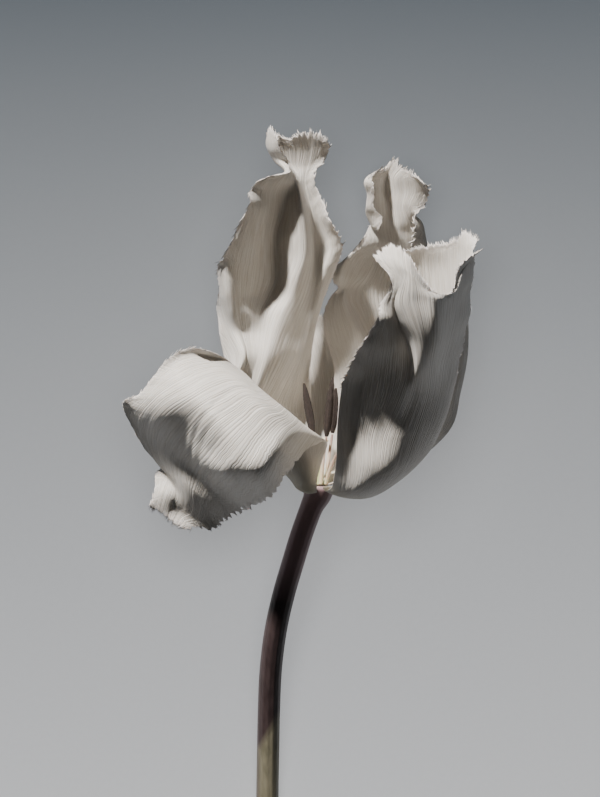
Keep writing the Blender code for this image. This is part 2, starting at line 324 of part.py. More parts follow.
def smooth(points, knots, at):
    """A smooth curve through points[i] at knots[i], read at each value of at."""
    points = np.asarray(points, float)
    knots = np.asarray(knots, float)
    span = np.diff(knots).reshape(-1, *[1] * (points.ndim - 1))
    slope = np.diff(points, axis=0) / span
    inner = (slope[:-1] * span[1:] + slope[1:] * span[:-1]) / (span[1:] + span[:-1])
    tangent = np.concatenate([slope[:1], inner, slope[-1:]])
    low = np.clip(np.searchsorted(knots, at, side="right") - 1, 0, len(knots) - 2)
    t = ((at - knots[low]) / (knots[low + 1] - knots[low])).reshape(-1, *[1] * (points.ndim - 1))
    start = points[low] * (1 + 2 * t) * (1 - t) ** 2 + points[low + 1] * t * t * (3 - 2 * t)
    return start + span[low] * (tangent[low] * t * (1 - t) ** 2 + tangent[low + 1] * t * t * (t - 1))


def spread(points):
    """A knot for each point or rib, from 0 to 1, spaced by how far apart they lie."""
    points = np.asarray(points, float)
    gap = np.linalg.norm(np.diff(points, axis=0), axis=-1)
    if gap.ndim > 1:
        gap = gap.mean(axis=1)
    return np.concatenate([[0.0], np.cumsum(gap)]) / gap.sum()


def petal_grid(ribs, columns, rows):
    """The middle surface of a petal, as an array of rows by columns of points."""
    across = np.linspace(0, 1, columns + 1)
    lines = np.array([smooth(rib, np.linspace(0, 1, len(rib)), across) for rib in ribs])
    return smooth(lines, spread(lines), np.linspace(0, 1, rows + 1))


def grid_normals(grid):
    along = np.gradient(grid, axis=0)
    across = np.gradient(grid, axis=1)
    normal = np.cross(across, along)
    return normal / np.linalg.norm(normal, axis=2, keepdims=True)


def ruffled(grid, height, waves, start):
    """The grid with its two edges waved up and down, more and more from the height start on."""
    rows, columns = grid.shape[:2]
    v = np.linspace(0, 1, rows)[:, None]
    u = np.linspace(-1, 1, columns)[None, :]
    grow = np.clip((v - start) / (1 - start), 0, 1) ** 0.5
    side = np.where(u < 0, 0.0, 1.9)
    lift = height * grow * np.abs(u) ** 4 * np.sin(2 * math.pi * waves * v + side)
    return grid + grid_normals(grid) * lift[:, :, None]


def petal_sheet(grid, thickness, smooth_share, draw):
    """A closed sheet about the grid, with pointed teeth along its edges past smooth_share of its length."""
    rows, columns = grid.shape[0] - 1, grid.shape[1] - 1
    points = list(grid.reshape(-1, 3))
    normals = list(grid_normals(grid).reshape(-1, 3))

    def index(row, column):
        return row * (columns + 1) + column

    cells = []
    for row in range(rows):
        for column in range(columns):
            a = index(row, column)
            c = index(row + 1, column + 1)
            cells += [(a, index(row, column + 1), c), (a, c, index(row + 1, column))]

    def toothed(a, b, inside):
        """Adds a tooth on the edge from a to b, pointing away from the point inside."""
        middle = (points[a] + points[b]) / 2
        away = middle - points[inside]
        away /= np.linalg.norm(away)
        lean = (points[b] - points[a]) * draw.uniform(-0.25, 0.25)
        points.append(middle + away * TOOTH_LENGTH * draw.uniform(0.5, 1.2) + lean)
        normals.append((normals[a] + normals[b]) / 2)
        tip = len(points) - 1
        cells.append((a, tip, b))
        return [a, tip]

    first = round(rows * smooth_share)
    rim = [index(0, column) for column in range(columns)]
    for row in range(rows):
        a = index(row, columns)
        rim += toothed(a, index(row + 1, columns), index(row, columns - 1)) if row >= first else [a]
    for column in range(columns, 0, -1):
        rim += toothed(index(rows, column), index(rows, column - 1), index(rows - 1, column))
    for row in range(rows, 0, -1):
        a = index(row, 0)
        rim += toothed(a, index(row - 1, 0), index(row, 1)) if row > first else [a]

    points = np.array(points)
    normals = np.array(normals)
    normals *= thickness / 2 / np.linalg.norm(normals, axis=1, keepdims=True)
    count = len(points)
    faces = list(cells)
    faces += [(c + count, b + count, a + count) for a, b, c in cells]
    for a, b in zip(rim, rim[1:] + rim[:1]):
        faces += [(b, a, a + count), (b, a + count, b + count)]
    return np.concatenate([points + normals, points - normals]), faces


def rod(centre, radius, sides):
    """A closed rod through rings about the points of a line, with a radius and a centre for each ring."""
    forward = np.gradient(centre, axis=0)
    forward /= np.linalg.norm(forward, axis=1, keepdims=True)
    right = np.cross(forward, (0.0, 0.0, 1.0))
    right /= np.linalg.norm(right, axis=1, keepdims=True)
    up = np.cross(right, forward)
    turn = 2 * math.pi * (np.arange(sides) + 0.5) / sides
    around = right[:, None] * np.cos(turn)[:, None] + up[:, None] * np.sin(turn)[:, None]
    vertices = list((centre[:, None] + around * np.asarray(radius)[:, None, None]).reshape(-1, 3))
    rings = len(centre) - 1
    faces = []
    for ring in range(rings):
        for side in range(sides):
            a = ring * sides + side
            b = ring * sides + (side + 1) % sides
            faces += [(a, b, b + sides), (a, b + sides, a + sides)]
    for first, middle in ((0, centre[0]), (rings * sides, centre[-1])):
        vertices.append(middle)
        for side in range(sides):
            a = first + side
            b = first + (side + 1) % sides
            faces.append((a, len(vertices) - 1, b) if first == 0 else (len(vertices) - 1, a, b))
    return np.array(vertices), faces


def outward(vertices, faces):
    """The faces, turned over if they point inwards."""
    corners = vertices[np.asarray(faces)]
    volume = np.einsum("ij,ij->", corners[:, 0], np.cross(corners[:, 1], corners[:, 2]))
    return faces if volume > 0 else [face[::-1] for face in faces]


def add(name, vertices, faces, surface, holder):
    """Makes the object, in metres, and hangs it on the holder."""
    mesh = bpy.data.meshes.new(name)
    mesh.from_pydata((vertices * MM).tolist(), [], outward(vertices, faces))
    mesh.shade_smooth()
    mesh.set_sharp_from_angle(angle=math.radians(50))
    mesh.materials.append(surface)
    made = bpy.data.objects.new(name, mesh)
    bpy.context.collection.objects.link(made)
    made.parent = holder
    return made


def add_petal(name, ribs, surface, holder, ruffle, smooth_share, rests=False):
    """A petal. One that rests on the surface has a small flat spot where it would reach lower."""
    grid = ruffled(petal_grid(ribs, PETAL_COLUMNS, PETAL_ROWS), *ruffle)
    if rests:
        grid[:, :, 2] = np.maximum(grid[:, :, 2], PETAL_THICKNESS / 2 - BASE_HEIGHT)
    vertices, faces = petal_sheet(grid, PETAL_THICKNESS, smooth_share, random.Random(f"{SEED} {name}"))
    return add(name, vertices, faces, surface, holder)


def add_stem(surface, holder):
    """The stem, with the domed receptacle that the bloom stands on and the end that lies down."""
    at = np.linspace(0, 1, STEM_RINGS) ** 1.5
    centre = smooth(STEM_LINE, spread(STEM_LINE), at)
    shaft = STEM_DIAMETER / 2
    flare = RECEPTACLE_DIAMETER / 2 - shaft
    down = np.linalg.norm(centre - centre[0], axis=1)
    radius = shaft + flare * np.exp(-((down / FLARE_LENGTH) ** 1.6))
    dome = centre[0] + np.array([[0.0, DOME_HEIGHT, 0.0], [0.0, DOME_HEIGHT * 0.7, 0.0]])
    centre = np.concatenate([dome, centre])
    radius = np.concatenate([[radius[0] * 0.4, radius[0] * 0.75], radius])
    vertices, faces = rod(centre, radius, STEM_SIDES)
    vertices[:, 2] = np.maximum(vertices[:, 2], -BASE_HEIGHT)
    return add("stem", vertices, faces, surface, holder)


def add_stamen(number, foot, neck, tip, thread, pollen, holder):
    """A thin filament, and the plump anther that stands on it, a little apart from it."""
    foot, neck, tip = (np.array(point) for point in (foot, neck, tip))
    at = np.linspace(0, 1, 5)[:, None]
    outward_bow = (neck - foot) * np.array([0.12, 0.0, 0.12])
    centre = foot + (neck - foot) * at - outward_bow * np.sin(math.pi * at)
    radius = FILAMENT_WIDTH / 2 * np.array([1.0, 1.0, 0.9, 0.8, 0.55])
    vertices, faces = rod(centre, radius, STAMEN_SIDES)
    add(f"filament_{number}", vertices, faces, thread, holder)

    length = np.linalg.norm(tip - neck)
    start = neck + (tip - neck) * SEAT_GAP / length
    at = np.linspace(0, 1, 8)[:, None]
    centre = start + (tip - start) * at
    radius = ANTHER_WIDTH / 2 * np.array([0.45, 0.85, 1.0, 1.0, 0.96, 0.85, 0.62, 0.25])
    vertices, faces = rod(centre, radius, STAMEN_SIDES)
    add(f"anther_{number}", vertices, faces, pollen, holder)


def add_pistil(surface, holder):
    """The ovary in the middle of the bloom, with a stigma of three spreading lobes on top."""
    at = np.array([0.0, 0.15, 0.35, 0.6, 0.78, 0.86, 0.93, 1.0])
    centre = smooth(PISTIL_LINE, spread(PISTIL_LINE), at)
    radius = PISTIL_WIDTH / 2 * np.array([0.9, 1.0, 1.02, 0.95, 0.8, 0.95, 1.35, 0.9])
    vertices, faces = rod(centre, radius, PISTIL_SIDES)
    for ring in (6, 7):
        for side in range(PISTIL_SIDES):
            lobe = 1 + 0.32 * math.cos(3 * 2 * math.pi * side / PISTIL_SIDES)
            here = ring * PISTIL_SIDES + side
            vertices[here] = centre[ring] + (vertices[here] - centre[ring]) * lobe
    add("pistil", vertices, faces, surface, holder)


def centre_on_origin(holder):
    """Moves the flower so that its box stands on the origin, lying on the surface at height 0."""
    bpy.context.view_layer.update()
    corners = np.array([
        made.matrix_world @ vertex.co for made in holder.children for vertex in made.data.vertices
    ])
    low, high = corners.min(axis=0), corners.max(axis=0)
    holder.location = (-(low[0] + high[0]) / 2, -(low[1] + high[1]) / 2, BASE_HEIGHT * MM)


def build():
    start_empty()
    white = material("petal", (0.78, 0.75, 0.70), 0.55)
    green = material("stem", (0.13, 0.09, 0.08), 0.5)
    thread = material("filament", (0.62, 0.50, 0.42), 0.5)
    pollen = material("anther", (0.06, 0.035, 0.04), 0.9)
    ovary = material("pistil", (0.55, 0.58, 0.30), 0.5)

    holder = bpy.data.objects.new("tulip", None)
    bpy.context.collection.objects.link(holder)
    for name, (ribs, ruffle, smooth_share, rests) in PETALS.items():
        add_petal(name, ribs, white, holder, ruffle, smooth_share, rests)
    add_stem(green, holder)
    for number, (foot, neck, tip) in enumerate(STAMENS, 1):
        add_stamen(number, foot, neck, tip, thread, pollen, holder)
    add_pistil(ovary, holder)
    centre_on_origin(holder)


# Ribs, then the height of the waves along the edges, how many there are and where they start,
# then the share of the length whose edges are smooth, and whether the petal touches the surface
PETALS = {
    "petal_front_left": (PETAL_FRONT_LEFT, (0.2, 9, 0.45), 0.42, False),
    "petal_left": (PETAL_LEFT, (0.7, 8, 0.45), 0.5, False),
    "petal_back_left": (PETAL_BACK_LEFT, (0.9, 6, 0.5), 0.5, True),
    "petal_back_right": (PETAL_BACK_RIGHT, (0.8, 8, 0.45), 0.5, True),
    "petal_right": (PETAL_RIGHT, (0.7, 7, 0.5), 0.6, False),
    "petal_front_right": (PETAL_FRONT_RIGHT, (0.4, 9, 0.5), 0.5, False),
}

build()
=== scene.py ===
"""The looks of the fringed tulip: fine veined petals with toothed edges, dusty anthers, stem and pistil.

Shape points are in millimetres from the middle of the bloom's base: x to the right, y along the
bloom towards the petal tips, z up. Each petal is a sheet drawn through the same ribs as its solid.
"""

import math
import random

import bpy
import numpy as np
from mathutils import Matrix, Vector


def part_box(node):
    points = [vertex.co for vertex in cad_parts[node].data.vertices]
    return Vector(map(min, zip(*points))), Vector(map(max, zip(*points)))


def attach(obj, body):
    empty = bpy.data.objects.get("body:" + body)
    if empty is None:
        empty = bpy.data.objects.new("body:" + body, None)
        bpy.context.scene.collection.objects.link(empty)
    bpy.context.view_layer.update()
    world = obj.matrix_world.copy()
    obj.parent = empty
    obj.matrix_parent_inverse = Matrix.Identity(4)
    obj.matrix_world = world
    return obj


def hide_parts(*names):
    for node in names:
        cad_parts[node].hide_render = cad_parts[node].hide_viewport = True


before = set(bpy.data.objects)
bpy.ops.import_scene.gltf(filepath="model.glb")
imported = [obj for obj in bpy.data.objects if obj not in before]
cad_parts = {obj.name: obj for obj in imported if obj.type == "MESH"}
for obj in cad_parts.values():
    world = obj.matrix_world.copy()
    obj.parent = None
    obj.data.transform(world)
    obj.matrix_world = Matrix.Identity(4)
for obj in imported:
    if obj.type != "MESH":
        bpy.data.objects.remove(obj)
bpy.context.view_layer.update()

MM = 0.001

# Driving dimensions in millimetres
STEM_DIAMETER = 5.7
RECEPTACLE_DIAMETER = 8.0
FLARE_LENGTH = 2.6
DOME_HEIGHT = 0.8
BASE_HEIGHT = 29.2
ANTHER_WIDTH = 2.1
FILAMENT_WIDTH = 0.95
PISTIL_WIDTH = 3.0
SEAT_GAP = 0.3

# Colours, and ramps of colours, each at its place from 0 to 1
PETAL_CREAM = ((0.3, (0.555, 0.51, 0.455)), (0.5, (0.645, 0.61, 0.56)), (0.72, (0.725, 0.695, 0.65)))
PETAL_VEIN = (0.42, 0.385, 0.34)
PETAL_BASE = (0.62, 0.56, 0.38)
PETAL_RIM = (0.78, 0.72, 0.69)
# The stem's own dark purple, which above the slanting line and along the stem's left side also stands for
# painted shade
STEM_LOWER = ((0.3, (0.034, 0.022, 0.022)), (0.7, (0.055, 0.036, 0.036)))
# Painted light: a lighter purple near the bloom, where the stem lies in the bloom's shadow
STEM_SHADOW_LIFT = (0.30, 0.20, 0.21)
# Painted light: pale olive where the stem is painted as lit, below the painted edge of the bloom's shadow
STEM_LIT_PAINT = ((0.3, (0.13, 0.12, 0.08)), (0.7, (0.22, 0.20, 0.14)))
STEM_PORES = ((0.0, (0.34, 0.38, 0.18)), (0.6, (0.62, 0.64, 0.42)))
THREAD = ((0.0, (0.66, 0.60, 0.36)), (0.5, (0.60, 0.47, 0.38)), (1.0, (0.20, 0.12, 0.11)))
THREAD_MOTTLE = (0.45, 0.34, 0.28)
POLLEN = ((0.3, (0.010, 0.007, 0.006)), (0.6, (0.030, 0.020, 0.016)), (0.8, (0.075, 0.052, 0.042)))
POLLEN_GRAIN = (0.10, 0.070, 0.058)
OVARY = ((0.0, (0.52, 0.56, 0.28)), (0.75, (0.60, 0.62, 0.33)), (1.0, (0.78, 0.74, 0.50)))
OVARY_MOTTLE = (0.40, 0.46, 0.20)
# The floor's painted light falloff, from the near end to the far end; the far colour also tints the grain
FLOOR_NEAR = (0.80, 0.80, 0.80)
FLOOR_FAR = (0.140, 0.158, 0.174)

# Light and view; lengths in metres, but the view in millimetres
KEY_DIRECTION = (-0.35, 0.75, 0.55)
KEY_DISTANCE = 1.5
KEY_SIZE = 0.10
KEY_POWER = 74.0
KEY_COLOUR = (1.0, 0.965, 0.92)
FILL_PLACE = (0.1, -0.5, 1.6)
FILL_SIZE = 1.2
FILL_POWER = 0.4
FILL_COLOUR = (1.0, 0.95, 0.90)
FLOOR_LIGHT_PLACE = (-0.1, 0.2, 1.6)
FLOOR_LIGHT_SIZE = 1.0
FLOOR_POWER = 26.0
FLOOR_SHADE = 0.35
FLOOR_LIGHT_COLOUR = (0.97, 0.98, 1.0)
FLOOR_REACH = 3.0
SKY_COLOUR = (0.86, 0.90, 0.95)
AMBIENT = 0.02
LENS = 500.0
VIEW_MIDDLE = (-5.0, 22.375)
VIEW_HEIGHT = 199.25
FURTHEST_SEEN = 50.0

STEM_LINE = (
    (-0.5, -0.3, 0),
    (-0.7, -1.6, -0.1),
    (-2, -4.6, -0.6),
    (-4.2, -10.5, -1.9),
    (-6.9, -19.2, -4.2),
    (-9.2, -27.2, -6.9),
    (-11.2, -36.5, -10.4),
    (-12.3, -45.5, -14),
    (-12.8, -56.2, -18),
    (-13, -66, -21.3),
    (-13.2, -78, -24.6),
    (-13.3, -92, -26.5),
    (-13.3, -108, -26.55),
)

PETAL_FRONT_LEFT = (
    ((-4.8, 0.3, 0.8), (-4.3, 0.3, 2.2), (-3.4, 0.3, 3.3), (-2.3, 0.3, 4), (-0.9, 0.3, 4.4)),
    ((-6, 0.5, 1.2), (-5.4, -0.2, 3.2), (-4.2, -0.8, 4.8), (-2.6, -1.2, 5.6), (-0.8, -1, 5.8)),
    ((-7.5, 2.2, 2.2), (-6.6, 1.6, 5.2), (-4.8, 1.2, 7.3), (-2.8, 1.2, 8.1), (-0.8, 1.8, 7.3)),
    ((-11.5, 6.5, 5), (-9.2, 5.5, 8.5), (-6.2, 5.2, 10.8), (-2.8, 5.8, 11), (0.2, 6, 8.5)),
    ((-16, 13.2, 8), (-13.5, 12.5, 12), (-9.8, 11.8, 14), (-5, 10.5, 13.5), (1.2, 9, 9.5)),
    ((-19.2, 20.8, 10), (-17.2, 20.5, 14), (-13.5, 19, 16.5), (-7.5, 15.8, 16), (1.8, 11.2, 10)),
    ((-19.6, 27.6, 11), (-18.9, 28, 12.5), (-17.6, 27, 15.5), (-15.6, 25, 18.5), (-13, 22.9, 20),
     (-10, 20.6, 20), (-6.8, 18, 18), (-3, 14.8, 14.5), (1.3, 11.9, 10.5)),
    ((-22.6, 31.6, 17), (-21.8, 30.6, 16.6), (-20, 28.6, 19), (-17.6, 25.9, 22.5), (-14.8, 23, 24.5),
     (-11.6, 20, 24.8), (-8, 17.2, 22.5), (-4.6, 14.4, 18), (-0.6, 11.2, 11.5)),
    ((-27.8, 34.2, 23.4), (-27, 32.8, 20.8), (-25.4, 30.8, 21.5), (-22.6, 27.8, 24.6), (-19.2, 24.2, 26.6),
     (-15.6, 20.2, 27.8), (-11.4, 16, 27.2), (-7.6, 12.6, 24), (-4.2, 8.4, 12)),
    ((-33, 34.7, 23.2), (-32.2, 33, 22.4), (-30.4, 30, 24.5), (-27.4, 26.4, 27.6), (-23.6, 22, 29.4),
     (-19.4, 17.4, 30.4), (-14.8, 13, 30.4), (-10.4, 9.2, 28.8), (-7.4, 4.6, 15)),
    ((-37.4, 32.6, 23.6), (-36.6, 30.8, 23.6), (-34.6, 27.6, 26.5), (-31.6, 23.8, 29), (-28, 19.6, 30.4),
     (-23.6, 14.4, 31.4), (-18.4, 9, 31.8), (-13.6, 4.6, 30), (-10.2, -0.2, 14.5)),
    ((-43.8, 24.4, 19), (-43, 23.8, 20.8), (-41.2, 22.2, 23.6), (-38, 19.2, 25.4), (-33.2, 14.2, 23),
     (-28.6, 9.6, 24), (-23.2, 4.8, 28.4), (-18, 0.4, 23), (-14.2, -3.6, 11.5)),
    ((-48.8, 19.4, 14.5), (-47, 16.8, 12), (-44.4, 13.8, 10.8), (-41, 10.8, 11), (-37, 7.8, 12.5),
     (-32.6, 5, 13.6), (-28, 1, 13.2), (-23.4, -3, 11.6), (-19.8, -6.6, 7)),
    ((-44.2, 11, 7), (-43, 9.4, 6.8), (-41.2, 7.4, 6.8), (-39, 5.4, 7.4), (-36.4, 3.2, 9),
     (-33.4, 0.8, 11), (-30.2, -2, 10.5), (-26.6, -5.4, 8), (-23.4, -8.8, 5)),
    ((-40, 5.6, 4.6), (-39, 4, 5.2), (-38, 2.4, 5.8), (-36.8, 0.8, 6.4), (-35.2, -1.2, 7),
     (-33.2, -3.2, 7.8), (-30.8, -5.4, 7), (-28.2, -7.8, 5.5), (-25.4, -10.2, 3.8)),
    ((-41.3, 3.4, 3.6), (-40.2, 2, 4.8), (-38.6, 0.4, 6.2), (-37, -1.2, 6.8), (-35.4, -3, 6.2),
     (-33.6, -5, 5.6), (-31.6, -7, 5), (-29.4, -9, 4.4), (-27.4, -10.7, 3.6)),
    ((-41.2, 0.8, 5), (-40.4, -0.4, 6), (-39.2, -1.6, 6.6), (-37.8, -2.9, 6.4), (-36.4, -4.4, 5),
     (-34.8, -6, 4.2), (-33.4, -7.6, 4), (-31.8, -9, 3.8), (-30.4, -10.2, 3.5)),
    ((-42.9, -4.2, 6.5), (-41.6, -4.9, 5.6), (-40.2, -5.7, 5.2), (-38.8, -6.6, 5), (-37.6, -7.6, 4.8),
     (-36.6, -8.5, 4.6), (-35.4, -9.3, 4.2), (-34, -9.9, 4), (-32.6, -10.2, 3.8)),
)

PETAL_LEFT = (
    ((-3.7, 0.95, 0.9), (-3.8, 0.95, -0.1), (-3.6, 0.95, -1.1), (-3.2, 0.95, -2), (-2.5, 0.95, -2.7),
     (-1.7, 0.95, -3.1)),
    ((-6.8, 3.3, 1.5), (-7, 3.3, -1.5), (-6.2, 3.3, -4.3), (-4.8, 3.2, -6.3), (-3.2, 3.1, -7.5),
     (-1.8, 3.1, -8)),
    ((-9.8, 7.5, 3.5), (-10.8, 7.2, -2), (-9.8, 7, -7.5), (-7, 6.8, -11.8), (-4.5, 6.8, -13.6),
     (-2, 7.2, -14.2)),
    ((-15.5, 14.5, 2), (-16.2, 14.2, -3.5), (-14, 13.8, -9), (-11, 13.4, -13), (-7.8, 13.2, -17),
     (-4.2, 13.5, -18.8), (-1.8, 14.5, -18.5)),
    ((-20.5, 22, -1), (-20.8, 21.8, -4), (-20.2, 21.6, -6.5), (-19.2, 21.4, -8.2), (-18.4, 21.2, -9.2),
     (-17.6, 21, -9.6), (-16.4, 21, -10), (-9.8, 20.8, -17.5), (-6.8, 21, -20), (-4.6, 21.4, -20.8),
     (-2.2, 22, -20)),
    ((-22.6, 27, -9), (-21.6, 26.8, -5.5), (-20.4, 26.6, -6.5), (-19, 26.4, -7.6), (-17.6, 26.2, -8.2),
     (-16.2, 26.1, -7.6), (-14.6, 26.1, -7.6), (-8.4, 26, -14.5), (-5.8, 26.4, -16.5), (-4, 27, -17.6),
     (-2.3, 27.8, -17)),
    ((-24.2, 33.6, -12), (-19.6, 33, -5), (-18.4, 32.8, -5.6), (-17.2, 32.6, -6.4), (-15.8, 32.4, -7),
     (-14.4, 32.3, -6.4), (-12.6, 32.3, -6.2), (-6, 32.4, -12.8), (-4.4, 32.8, -14.4), (-3.2, 33.4, -15.6),
     (-2.1, 34.2, -16.4)),
    ((-25.4, 40, -12.5), (-21.6, 39.6, -7.6), (-19.6, 39.4, -8.6), (-17.4, 39.1, -9.6), (-15, 38.9, -9.4),
     (-13.4, 38.8, -8.2), (-10.8, 38.8, -6.8), (-4.8, 39, -12.4), (-3, 39.6, -13.6), (-1.9, 40.4, -14.4),
     (-0.9, 41.2, -15.6)),
    ((-25.8, 45.2, -13), (-22.6, 44.8, -5), (-20, 44.5, -6), (-17.2, 44.2, -8), (-14.6, 44, -9.4),
     (-12, 43.9, -8.6), (-9, 43.9, -7.2), (-3.6, 44.2, -11.8), (-1.8, 44.8, -12.8), (-0.8, 45.6, -13.4),
     (0.4, 46.2, -15)),
    ((-25.4, 49, -6.4), (-22.8, 48.8, -2.4), (-19.6, 48.5, -5.6), (-16.2, 48.2, -9.4), (-12.4, 48, -11.2),
     (-9.8, 47.9, -9.4), (-7, 47.9, -7.6), (-2.6, 48.2, -11.8), (-0.8, 48.8, -12.4), (0.4, 49.8, -12.6),
     (2.4, 50.4, -14.4)),
    ((-26.1, 54.4, -2), (-22.6, 53.8, -0.4), (-18.8, 53.2, -4), (-14.6, 52.8, -8.4), (-10.4, 52.6, -11.4),
     (-8.4, 52.6, -8.6), (-5.4, 52.8, -6.6), (-1.8, 53.2, -11.4), (0.2, 54, -11.6), (1.8, 55, -11.2),
     (4, 55.6, -13.4)),
    ((-24, 59, 3.4), (-21, 58.6, 1.4), (-17.6, 58, -2.8), (-14.2, 57.6, -7.2), (-10.4, 57.4, -10.9),
     (-7.4, 57.4, -7.4), (-3.8, 57.6, -5.8), (-1.6, 58, -11.4), (0.4, 58.6, -12), (3, 59.6, -10.8),
     (5.8, 60.4, -12)),
    ((-20.4, 65.4, 5.4), (-18.4, 65, 3.4), (-16, 64.4, -0.2), (-13.6, 64, -4.6), (-10.6, 63.8, -9.4),
     (-7.4, 63.6, -5.8), (-3.8, 63.8, -4.4), (-2, 64, -9.6), (-0.2, 64.4, -10.4), (1.8, 65, -9.6),
     (3.8, 65.6, -7.6)),
    ((-18, 71, 7), (-16.4, 70.6, 5.2), (-14.6, 70.2, 2.2), (-12.2, 69.8, -2.8), (-9, 69.4, -7.8),
     (-6.8, 69.2, -4.8), (-4.6, 69.2, -3.4), (-2.8, 69.2, -8), (-1.4, 69.4, -8.6), (-0.2, 69.8, -8.2),
     (1.4, 70.4, -6.8)),
    ((-17.6, 74.4, 6.6), (-15.8, 74.6, 4.8), (-13.8, 74.6, 2.4), (-11.4, 74.6, -0.8), (-8.4, 74.4, -4.8),
     (-6.8, 74.2, -5.4), (-5.4, 74, -4.8), (-4.2, 73.8, -7.2), (-2.8, 73.8, -7.8), (-1.8, 74.2, -7.6),
     (-0.8, 75, -6.8)),
    ((-14.2, 76.9, 6.2), (-13, 77, 5), (-11.4, 77.2, 3.2), (-9.6, 77.2, 0.8), (-7.8, 77, -2.6),
     (-6.8, 76.8, -4.6), (-5.8, 76.6, -5.6), (-4.6, 76.4, -7), (-3.4, 76.4, -7.5), (-2.2, 76.6, -7.2),
     (-1, 77.4, -6.6)),
    ((-8.2, 78.6, 4.6), (-8.4, 78.8, 3.2), (-8.6, 79, 1), (-8.4, 79, -2.4), (-7.4, 78.8, -5.4),
     (-6.4, 78.6, -6.4), (-5.4, 78.6, -6.9), (-4.4, 78.6, -7.2), (-3.2, 78.6, -7.4), (-1.8, 79, -7),
     (-0.4, 79.6, -6.2)),
    ((-7.4, 81, -1), (-8.6, 81.4, -1.6), (-10.4, 81.8, -3), (-11.4, 82, -5.4), (-10.4, 81.8, -7.4),
     (-8.6, 81.4, -7.6), (-6.6, 81.2, -7.4), (-4.6, 81, -7.2), (-2.4, 81.2, -6.9), (-0.2, 81.8, -6.3),
     (1.8, 82.4, -5.6)),
    ((-9, 84.2, 1), (-10.2, 84.6, 0), (-12.2, 85, -2), (-13.2, 85.4, -5), (-12, 85.2, -6.8),
     (-9.4, 84.8, -6.2), (-6.8, 84.6, -5.8), (-4.2, 84.6, -5.4), (-1.8, 84.8, -4.9), (0.6, 85.2, -4.1),
     (2.8, 85.4, -3.6)),
    ((-10.6, 88, 2), (-11.4, 89.2, 1.4), (-12.4, 90, 0), (-13.2, 88.8, -2), (-12.4, 88, -4.6),
     (-10.4, 88.4, -3.2), (-7.8, 87.4, -3.6), (-5.6, 88.8, -2), (-2.2, 89.5, -1.6), (0.8, 88.2, -1.7),
     (3.2, 86, -2.8)),
)

PETAL_BACK_LEFT = (
    ((-3.9, 0.3, -2.8), (-2.7, 0.3, -3.8), (-1.2, 0.3, -4.4), (0.2, 0.3, -4.4), (1.6, 0.3, -3.9)),
    ((-7, 2.5, -6.5), (-5, 2.4, -8.8), (-2.2, 2.2, -10.4), (1, 2.2, -11), (4, 2.3, -10.6)),
    ((-12, 7.2, -9.5), (-8.5, 6.8, -13.8), (-3.5, 6.2, -16.8), (2, 6, -18.2), (6.8, 6.2, -18.6)),
    ((-16.2, 14.5, -14), (-11.2, 13.5, -19.5), (-4.5, 12.8, -23), (2.2, 12.8, -24.3), (7.5, 13.5, -24.2)),
    ((-18.5, 22, -17.5), (-12.5, 21, -23.5), (-5, 20.2, -27), (2.5, 20.5, -28), (8.2, 22, -27.4)),
    ((-19.8, 29.5, -19), (-13.5, 28.8, -25), (-6.2, 28.2, -28.6), (1, 28.5, -28.8), (6.5, 29.5, -27.2)),
    ((-20, 38, -19.5), (-14.5, 37.2, -25), (-8, 37, -29.1), (-1.5, 37.2, -29.1), (4, 38.5, -27)),
    ((-19.5, 45.5, -19.5), (-15, 45, -24.5), (-9.5, 44.5, -28), (-4.5, 45, -28), (-1, 45.8, -26.5)),
    ((-18.5, 55, -19), (-15, 54.5, -23), (-10.8, 54.2, -26), (-7, 54.8, -26), (-4.2, 56, -24.5)),
    ((-16.8, 64, -18), (-14.5, 63.8, -20.5), (-11.8, 63.8, -22.5), (-9.2, 64.5, -22.5),
     (-7.2, 65.5, -21.5)),
    ((-14, 70.5, -17), (-13, 71.5, -18), (-11.8, 72.2, -18.5), (-10.5, 72.5, -18.5), (-9.2, 71.8, -18.2)),
)

